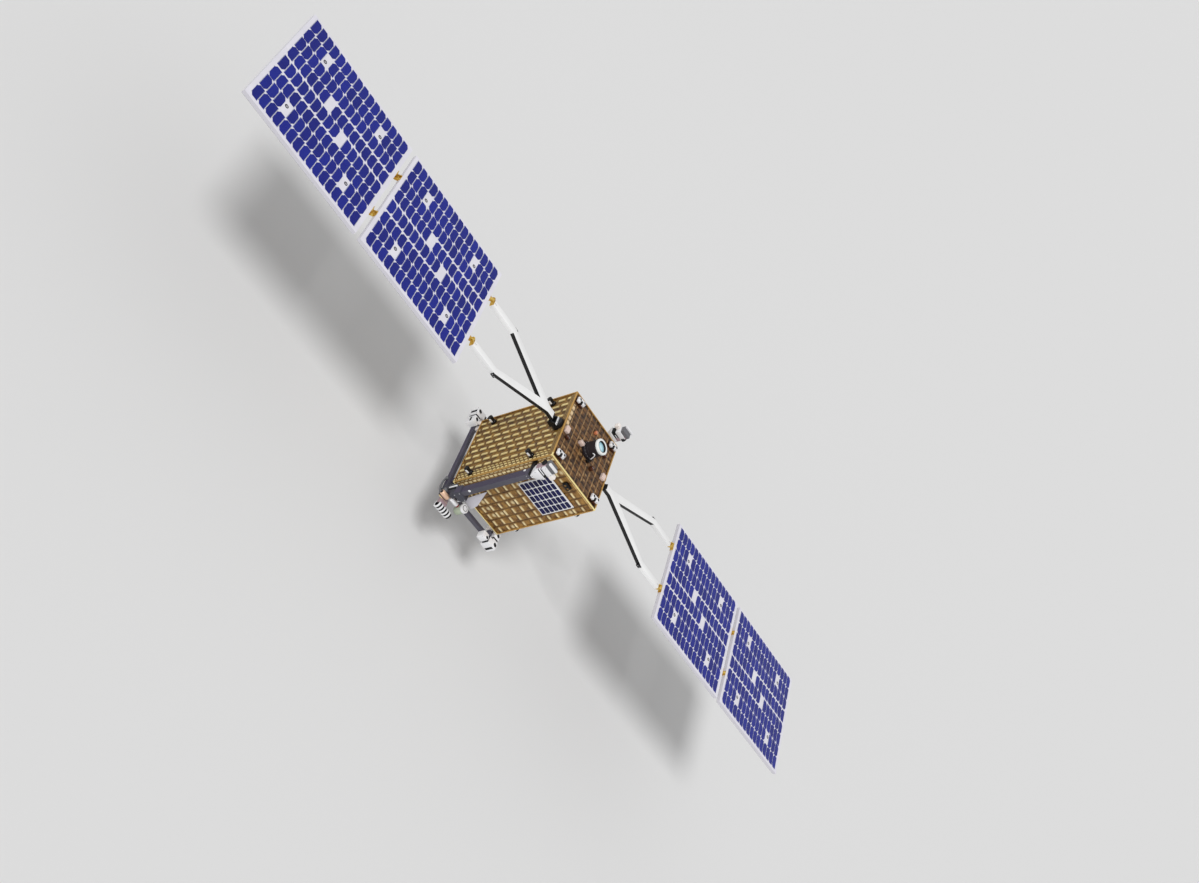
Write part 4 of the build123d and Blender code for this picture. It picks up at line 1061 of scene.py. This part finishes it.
stepZ = (zHigh - zLow - 2 * margin + gap) / rows
wide, tall, crop = stepX - gap, stepZ - gap, bodyPanel["crop"]
cellOutline = [(crop, 0), (wide - crop, 0), (wide, crop), (wide, tall - crop), (wide - crop, tall),
               (crop, tall), (0, tall - crop), (0, crop)]
one = plate(cellOutline, face, face + bodyPanel["cellThick"], along, upward, bevel=0.3, steps=1)
places = [(xLow + margin + i * stepX, 0, zLow + margin + j * stepZ)
          for i in range(columns) for j in range(rows)]
shades = np.repeat(np.random.default_rng(11).uniform(0, 1, len(places)), len(one[0]))
addPiece("bodyCells", repeated(one, places), ["bodyCell"], "body_solar_cells",
         marks={"shade": shades})

twin = {"x": 9.0, "z": -5.0, "half": (23.0, 13.0), "skin": 225.0, "base": 237.0, "end": 243.0, "spread": 11.2,
        "radius": 11.0, "well": ((0, 7.2), (2.4, 7.1), (3.8, 4.4), (4.3, 0))}
(x, z), (a, b), base = (twin["x"], twin["z"]), twin["half"], twin["base"]
parts = [block((x - a, -base, z - b), (x + a, -twin["skin"], z + b), 1, 2)]
for side in (-1, 1):
    at = (x + side * twin["spread"], 0, z)
    parts.append(hoop(base, twin["end"], twin["radius"], twin["well"][0][1], at, outFront, 36, 0, 0.8))
    # the wells are gold-brown: a painted highlight in the sensor's lenses
    parts.append(turned([(base + rise, radius) for rise, radius in twin["well"]], at, outFront, 28, 1))
addPiece("twinSensor", joined(*parts), ["blackAnodised", "wellHighlightGold"], "twin_sensor", 45)
dress("gusset_plate", "plateGrey")
print("front face fitted out")


# Wing sides: hold-down posts, drive collars and the ring's bolts
ring = {"bolts": 18, "boltCircle": 149.0, "z": -579.0, "head": 3.0}
low = skinHigh[0]
screws = [(204, y, z) for y, z in onCircle(posts["screwAngles"], posts["screwCircle"])]
postShape = joined(
    turned([(low, 14.2), (low + 0.8, posts["footRadius"]), *posts["profile"]], (0, 0, 0), along, 32),
    bolts(screws, along, 1.2, 1.4, 1),
    # a white strip on the cup's -Y side: a painted glint
    block((208, -15.5, -5), (230, -11, 5), 2, 1.2, 2, 2),
)
places = [(0, y, z) for y in (-posts["y"], posts["y"]) for z in posts["z"]]
addPiece("holddownPosts", mirrored(repeated(postShape, places)), ["blackAnodised", "boltSteel", "podWhite"],
         "holddown_posts")
for node in ("bus_side_panels", "forward_deck", "aft_deck"):
    dress(node, "closurePanel")
for node, finish in (("drive_collars", "blackAnodised"), ("equipment_block", "equipmentGrey"),
                     ("edge_rails", "railTape"), ("separation_ring", "ringMetal")):
    dress(node, finish)
spots = np.linspace(0, 2 * math.pi, ring["bolts"], endpoint=False)
places = [(x, y, ring["z"]) for x, y in onCircle(spots, ring["boltCircle"])]
addPiece("ringBolts", bolts(places, (0, 0, -1), ring["head"], ring["head"]), ["boltSteel"])
print("wing sides and ring fitted out")


# Boom frame round the aft end, and the two long booms
boomFrame = {"x": 190.0, "y": 249.0, "half": 12.0, "low": -640.0, "top": -616.0, "foot": (178.0, 196.0),
             "tape": (-236.0, 194.0)}
half, low, top = boomFrame["half"], boomFrame["low"], boomFrame["top"]
(footX, footY), (tapeLow, tapeHigh) = boomFrame["foot"], boomFrame["tape"]
endY, span = boomFrame["y"] + half, boomFrame["x"] - half
parts = []
for side in (-1, 1):
    x, y = side * boomFrame["x"], side * boomFrame["y"]
    outer = x + side * half
    parts += [
        block((x - half, -endY, low), (x + half, endY, top), 1, 2.5, 3),
        block((-span, y - half, low), (span, y + half, top), 0, 2.5, 3),
        block((outer, tapeLow, low + 3), (outer + side * 0.5, tapeHigh, top - 3), 1, 0.2, 1, 2),
    ]
for x, y, _ in fourPlaces(footX, footY):
    paint = 3 if x * y < 0 else 2
    parts.append(block((x - half, y - half, low + 2), (x + half, y + half, skinLow[2]), 2, 2, 2, paint))
    parts.append(bolts([(x, y + dy, top) for dy in (-16, 16)], upward, 1.6, 1.8, 1))
addPiece("boomFrame", joined(*parts), ["boomGrey", "boltSteel", "boomPurple", "podPale"],
         "boom_frame")

boom = {"x": (-205.0, -175.0), "y": (-343.0, -296.0), "z": (-500.0, -55.0), "bands": (-494, -78),
        "standoffX": (-187.0, -173.0), "standoffZ": (-84.0, -60.0)}
(xLow, xHigh), (yLow, yHigh), (low, top) = boom["x"], boom["y"], boom["z"]
(nearX, farX), (nearZ, farZ) = boom["standoffX"], boom["standoffZ"]
parts = [
    block((xLow, yLow, low), (xHigh, yHigh, top), 2, 4, 3),
    block((xLow - 0.5, yLow + 4, low + 2), (xLow + 1, yHigh - 4, top - 2), 2, 0.2, 1, 3),
    block((nearX, yHigh - 2, nearZ), (farX, -skinHigh[1], farZ), 1, 2, 2, 2),
    block((xLow - 4, -312, -96), (xLow, -302, -84), 2, 1.5, 2, 4),
    bolts([(xLow + 5, yLow, -424)], outFront, 5.0, 3.0, 4),
]
for z in boom["bands"]:
    parts.append(block((xLow - 1.2, yLow - 1.2, z), (xHigh + 1.2, yHigh + 1.2, z + 12), 2, 4, 2))
    parts.append(bolts([(x, yLow - 1.2, z + 6) for x in (-198, -182)], outFront, 1.8, 1.8, 1))
addPiece("longBooms", halfTurned(joined(*parts)),
         ["boomGrey", "boltSteel", "blackAnodised", "boomPurple", "podWhite"], "long_booms")
print("frame and booms made")


# Pods at the booms' ends
endPod = {
    "y": (-350.0, -304.0), "lens": (-315.0, 45.0),
    "wedge": ((-217, -16), (-200, -48), (-182, -48), (-154, 1), (-154, 9), (-220, 9)),
}
yLow, yHigh = endPod["y"]
lens = (0, *endPod["lens"])
endPodParts = {
    "rear cap": block((-209, yLow + 3, -55), (-176, yHigh, -46), 2, 2, 2, 1),
    "wedge": plate(endPod["wedge"], -yHigh, -yLow, along, upward, bevel=2),
    "dark core": block((-216, yLow + 6, 7), (-157, yHigh - 3, 33), 0, 2, 2, 1),
    "slot's plate": block((-221, yLow + 1, 18), (-178, yHigh - 1.5, 22), 0, 0.8, 1, 0),
    "white block": block((-220, yLow, 31), (-162, yHigh, 60), 0, 2.4, 3),
    "pale side": block((-164, yLow, 33), (-138, -327, 60), 0, 2.4, 3, 5),
    "grey step": block((-225, yLow + 4, 60), (-168, yHigh - 2, 82), 0, 2.4, 3, 4),
    "end strip": block((-230, yLow + 2, 82), (-171, -336, 93), 0, 1.6, 3, 0),
    "lens block": block((-223, -334, -5), (-200, -305, 64), 0, 3, 3, 2),
    "lens hood": hoop(213, 230, 15, 11.5, lens, outLeft, 40, 1, 1.0),
    "lens": turned([(222, 11.6), (226, 11.4), (227.4, 7.0), (228, 0)], lens, outLeft, 32, 1),
    "block's bolts": bolts([(x, yLow, z) for x in (-214, -168) for z in (36, 55)], outFront, 1.6, 1.4, 3),
    "wedge's bolts": bolts([(-210, yLow, -10), (-162, yLow, 1), (-192, yLow, -40)], outFront, 1.6, 1.4, 3),
}
addPiece("endPods", halfTurned(joined(*endPodParts.values())),
         ["podWhite", "blackAndBoreShade", "podMauve", "boltSteel", "podGrey", "podPale"],
         "boom_end_pods", 45)


# Corner pods: white modules round a black core, with slots in their outer sides and ports on top
cornerPod = {
    "low": -648.0, "top": -592.0, "ports": ((-226, 281, 12), (-158, 289, 9.5), (-224, 221, 11)),
    "bend": ((-242, 252), (-203, 252), (-203, 262), (-179, 262), (-179, 301), (-242, 301)),
}
low, top = cornerPod["low"], cornerPod["top"]
cornerPodParts = {
    "bent module": plate(cornerPod["bend"], low, top, bevel=3, steps=3),
    "side module": block((-167, 261.5, low + 12), (-126, 301, top), 2, 3, 3),
    "front module": block((-242, 196, low), (-202.5, 241, top), 2, 3, 3),
    "front core": block((-238, 239, low + 3), (-203.5, 254, top - 3), 1, 2, 2, 1),
    "side core": block((-184, 262.5, low + 15), (-130, 297, top - 3), 0, 2, 2, 1),
    # the slots: thin black plates on the modules' faces, painted shade for the openings
    "front slot": block((-242.6, 204, -625), (-240, 233, -613), 0, 0.8, 1, 1),
    "upright slot": block((-242.6, 270, low + 7), (-240, 286, top - 7), 0, 0.8, 1, 1),
    "back slot": block((-230, 299, low + 4), (-214, 301.6, top - 5), 1, 0.8, 1, 1),
    "tab": block((-206, 210, top - 6), (-190, 228, top + 14), 2, 2, 2, 3),
    "left bolts": bolts([(-242, y, z) for y in (258, 296) for z in (-643, -597)], outLeft, 1.5, 1.4, 2),
    "back bolts": bolts([(x, 301, z) for x in (-162, -131) for z in (-631, -597)], outBack, 1.5, 1.4, 2),
}
parts = [*cornerPodParts.values()]
for x, y, bore in cornerPod["ports"]:
    parts.append(hoop(top - 1, top + 4, bore + 3, bore, (x, y, 0), upward, 36, 0, 1.2))
    # a black disc just inside each port: painted shade of its bore
    parts.append(barrel(top - 1, top + 2.4, bore + 0.1, (x, y, 0), upward, 28, 1, 0.6))
addPiece("cornerPods", halfTurned(joined(*parts)), ["podWhite", "blackAndBoreShade", "boltSteel", "podPale"],
         "corner_pods", 45)
print("pods made")


# Hubs between the frame's corners and the long booms, and the devices round them
hubParts = {
    "corner block": block((-206, -305, -640), (-165, -261, -530), 2, 3, 3),
    "head": block((-211, -348, -522), (-148, -290, -478), 1, 4, 3, 0),
    "neck": block((-204, -334, -560), (-172, -290, -520), 1, 4, 3, 0),
    "side plate": block((-212.4, -340, -518), (-210, -298, -482), 0, 1.2, 1, 1),
    "bolts": bolts([(x, -348, z) for x in (-203, -157) for z in (-516, -484)], outFront, 2.2, 2.0, 2),
    "strap": block((-207.2, -303, -606), (-205, -265, -598), 2, 0.8, 1, 1),
}
addPiece("boomHubs", halfTurned(joined(*hubParts.values())), ["hubGrey", "boomPurple", "boltSteel"],
         "boom_hubs")

device = {
    "copper": (0, -322, -591), "capsule": (0, -320, -576), "drum": (-62.0, -290.0, 0),
    "drumProfile": ((-638, 19), (-634, 22.4), (-628, 23), (-593, 23), (-592, 22)),
    "finPod": (-186.0, -350.0, -642.0), "fins": 5, "finPitch": 20.0, "fin": 8.5,
}
x, y, z = device["finPod"]
pitch, fin = device["finPitch"], device["fin"]
finEnd = x + device["fins"] * pitch
bend = np.linspace(0, math.pi, 26)
armPath = np.stack([-207 - 8 * np.sin(bend), -244 - 48 * np.cos(bend), -628 - 10 * np.sin(bend)], axis=1)
deviceParts = {
    "copper drum": barrel(-228, -176, 14, device["copper"], along, 40, 4, 3.0),
    # a black disc at the drum's end: painted shade of its bore
    "copper drum's bore": barrel(-229, -226, 9, device["copper"], along, 32, 1, 0.6),
    "copper drum's foot": block((-191.5, -322, -597), (-179.5, -305, -585), 1, 2, 2, 6),
    "capsule": barrel(-170, -118, 11.5, device["capsule"], along, 36, 0, 3),
    "capsule's cap": barrel(-119, -111, 10.6, device["capsule"], along, 32, 7, 1.6),
    "capsule's strut": block((-165, -320, -579), (-153, -283, -573), 1, 1.2, 2, 2),
    "eye": hoop(-148, -141, 9, 4.6, (0, -320, -545), along, 32, 0, 1.2),
    # a black disc inside the eye: painted shade of its bore
    "eye's bore": barrel(-149, -143, 4.7, (0, -320, -545), along, 24, 1, 0.6),
    "lower rod": barrel(-212, -150, 2.2, (0, -320, -623), along, 14, 8, 0.5),
    "upper rod": barrel(-212, -150, 2.2, (0, -328, -616), along, 14, 8, 0.5),
    "fin pod's foot": block((-192, -346, -641), (-146, -305, -614), 1, 3, 3, 6),
    "white strip": block((-213, -289, -572), (-206, -281, -520), 2, 1.4, 2, 0),
    "black strip": block((-211.6, -300, -574), (-205.5, -290.5, -522), 2, 1.4, 2, 5),
    "side cap": barrel(-222, -205, 11, (0, -300, -588), along, 36, 2, 1.4),
    "fin pod's core": barrel(x, finEnd - 9, 16, (0, y, z), along, 40, 1, 1.6),
    "fin pod's end": barrel(finEnd - 11, finEnd - 4, 12, (0, y, z), along, 32, 2, 1.2),
    "drum": turned(device["drumProfile"], device["drum"], upward, 48, 3),
    "drum's lid": barrel(-591, -576, 25, device["drum"], upward, 48, 0, 2.0),
    "drum's ring": hoop(-577, -574.5, 17, 14, device["drum"], upward, 40, 2, 0.6),
    "drum's foot": block((-73.5, -292, -638), (-50.5, -261, -618), 1, 2, 2, 6),
    "arm": tube(armPath, 5.5, 16, 2),
    "arm's near end": barrel(201, 214, 9, (0, -196, -628), outLeft, 32, 2, 1.4),
    "arm's far end": barrel(204, 214, 8, (0, -292, -628), outLeft, 32, 2, 1.4),
}
parts = [*deviceParts.values()]
for start in np.arange(x, finEnd, pitch):
    parts.append(barrel(start, start + fin, 22, (0, y, z), along, 44, 0, 1.4))
    # between the fins, a black core: painted shade in the gaps
    parts.append(barrel(start + fin, start + pitch, 17.5, (0, y, z), along, 44, 1, 1.0))
addPiece("hubDevices", halfTurned(joined(*parts)),
         ["podWhite", "blackAndBoreShade", "podGrey", "drumGreen", "copperPink", "blackAnodised", "podMauve",
          "capRed", "rodCream"], "hub_devices", 45)
print("hubs and devices made")


# Wings: yokes, hinges, boards and cells. A side is -1 for left and 1 for right.
yokePlan = {
    "edge": ((256, 20), (300, 20), (684, 168.5), (866, 168.5), (866, 133.5), (690, 133.5)),
    "crotch": 378.0, "half": 12.0, "bevel": 1.2, "armY": 151,
    "black": (1, 1, 0, 0, 0, 1, 1, 0, 0, 0, 1, 1, 1),    # which of the outline's sides are black
    "pinOut": 240.0, "pinZ": -20.0, "lug": 9.0, "bore": 4.05, "lugHalf": 17.0, "lugArc": (78, 282),
    "fitting": (668.0, 694.0),
}
cellPlan = {
    "rows": 16, "columns": 8, "pitchX": 41.5, "pitchY": 78.6, "size": (38.9, 76.0), "crop": (11.0, 16.0),
    "marginX": 20.0, "top": 321.5, "low": 10.0, "high": 11.2, "bar": 0.6, "tabs": (-14.0, -38.7, -63.4),
    "tab": 2.0,
    "bare": ((3, 1), (12, 1), (3, 6), (12, 6), (6, 3), (9, 4)),    # row and column without a cell
    # from each of these on, column and row, the cells stand this much further down
    "steps": ((3, 7), (4, 9)), "step": 7,
}
boardPlan = {"long": 704.0, "back": -10.0, "holdFromEnd": 159.0, "holdY": 191.5,
             "starts": {"inner": 901.6, "outer": 1636.1}}


def yokeShape(side):
    # the V frame, the lug on its root pin, and the fittings at its bends and ends
    edge = [(side * x, y) for x, y in yokePlan["edge"]]
    outline = [*edge, (side * yokePlan["crotch"], 0), *[(x, -y) for x, y in reversed(edge)]]
    half, lift = yokePlan["half"], -yokePlan["pinZ"]
    frameShape = plate(outline, -half, half, bevel=yokePlan["bevel"], steps=3, sides=yokePlan["black"])
    start, end = (math.radians(angle) for angle in yokePlan["lugArc"])
    arc = onCircle(np.linspace(start, end, 21), yokePlan["lug"])
    foot = yokePlan["edge"][0][0] - yokePlan["pinOut"] + 4
    stem = [(16, lift - half), (foot, lift - half), (foot, 0.5 * lift), (foot, lift + half - 12),
            (foot, lift + half), (16, lift + half)]
    origin = (side * yokePlan["pinOut"], 0, yokePlan["pinZ"])
    lug = bored([(side * x, y) for x, y in [*arc, *stem]], yokePlan["bore"], -yokePlan["lugHalf"],
                yokePlan["lugHalf"], origin, along, upward, 1)
    low, high = yokePlan["fitting"]
    parts = [frameShape, lug]
    for y in (-1, 1):
        bends = [(side * x, y * 173, 0) for x in (low + 6, high - 6)]
        ends = [(side * x, y * yokePlan["armY"], half) for x in (852, 860)]
        parts += [
            block((side * low, y * 167, -half + 2), (side * high, y * 173, half - 2), 0, 1.5, 2, 1),
            bolts(bends, (0, y, 0), 2.0, 1.8, 2),
            bolts(ends, upward, 1.6, 0.7, 2),
        ]
    return joined(*parts)


def strip(xLow, xHigh, yLow, yHigh, low, high, bevel):
    # a silver strip on a cell
    outline = [(xLow, yLow), (xHigh, yLow), (xHigh, yHigh), (xLow, yHigh)]
    return plate(outline, low, high, bevel=bevel, steps=1, paint=1)


def cellField(side, start):
    # every laid cell, with the tabs and the bar that join it to its neighbours
    width, height = cellPlan["size"]
    cropX, cropY = cellPlan["crop"]
    left = min(side * start, side * (start + boardPlan["long"])) + cellPlan["marginX"]
    outlines = (
        [(0, -height), (width - cropX, -height), (width, cropY - height), (width, -cropY), (width - cropX, 0),
         (0, 0)],
        [(cropX, -height), (width, -height), (width, 0), (cropX, 0), (0, -cropY), (0, cropY - height)],
    )
    places = ([], [])
    for row in range(cellPlan["rows"]):
        for column in range(cellPlan["columns"]):
            if (row, column) not in cellPlan["bare"]:
                passed = sum((column, row) >= step for step in cellPlan["steps"])
                top = cellPlan["top"] - column * cellPlan["pitchY"] - passed * cellPlan["step"]
                places[column % 2].append((left + row * cellPlan["pitchX"], top, 0))
    parts, shades = [], []
    draw = np.random.default_rng(int(start) + side)
    low, high, bar, tab = (cellPlan[key] for key in ("low", "high", "bar", "tab"))
    for outline, spots, busX in zip(outlines, places, (1.2, width - 1.2)):
        one = joined(
            plate(outline, low, high, bevel=0.3, steps=1),
            strip(busX - bar, busX + bar, 2 - height, -2, high - 0.2, high + 0.15, 0.05),
            *[strip(-1.5, 1.1, t - tab, t + tab, high - 0.6, high + 0.3, 0.1) for t in cellPlan["tabs"]],
        )
        parts.append(repeated(one, spots))
        shades.append(np.repeat(draw.uniform(0, 1, len(spots)), len(one[0])))
    return joined(*parts), np.concatenate(shades)


def boardFittings(side, start, turn):
    # behind a board: harness tapes and a row of small black boards; round its holes, on both faces: bushings,
    # the one on the cells' face black as painted shade for the dark seen through the hole
    centre = side * (start + boardPlan["long"] / 2)
    back, reach = boardPlan["back"], boardPlan["long"] / 2 - 14
    low, high, across = back - 0.9, back + 0.2, centre + turn * 120
    parts = [block((across - 5, -300, low), (across + 5, 300, high), 1, 0.4, 1, 0)]
    for y in (turn * 52, turn * 128, -turn * 96, -turn * 232):
        parts.append(block((centre - reach, y - 7, low), (centre + reach, y + 7, high), 0, 0.4, 1, 0))
    near, far = centre - turn * 300, centre - turn * 276
    for y in np.linspace(-280, 280, 8):
        parts.append(block((near, y - 15, low - 0.8), (far, y + 15, high), 2, 0.6, 2, 1))
    for out in (boardPlan["holdFromEnd"], boardPlan["long"] - boardPlan["holdFromEnd"]):
        for y in (-boardPlan["holdY"], boardPlan["holdY"]):
            at = (side * (start + out), y, 0)
            # the bushing on the cells' face is black: painted shade for the dark seen through its hole
            for facing, paint in ((-1, 2), (1, 1)):
                parts.append(hoop(-back - 0.3, -back + 0.5, 9.5, 6.0, at, (0, 0, facing), 32, paint, 0.2))
    return joined(*parts)


for sideName, side in (("left", -1), ("right", 1)):
    addPiece(f"{sideName}Yoke", yokeShape(side), ["yokeWhite", "yokeBlack", "boltSteel"],
             f"{sideName}_yoke", body=f"{sideName}_yoke")
    dress(f"{sideName}_drive_flange", "blackAnodised")
    plateShape = block((side * 214.2, -28, 8), (side * 225.6, 28, 10), 1, 0.8, 2, 0)
    heads = bolts([(side * 220, y, 10) for y in (-22, -7, 7, 22)], upward, 1.8, 1.6, 1)
    addPiece(f"{sideName}DriveStrip", joined(plateShape, heads), ["podWhite", "boltSteel"],
             body=f"{sideName}_drive")
    for part in ("yoke", "inner", "outer"):
        dress(f"{sideName}_{part}_hinges", "hingeGold")
    for part, start in boardPlan["starts"].items():
        body, title = f"{sideName}_{part}", f"{sideName}{part.title()}"
        dress(f"{body}_panel", "wingBoard")
        shape, shades = cellField(side, start)
        addPiece(f"{title}Cells", shape, ["wingCell", "silverTab"], f"{body}_cells",
                 marks={"shade": shades}, body=body)
        turn = side if part == "inner" else -side
        addPiece(f"{title}Harness", boardFittings(side, start, turn),
                 ["harnessAmber", "blackAnodised", "hingeGold"], body=body)
print("wings made")
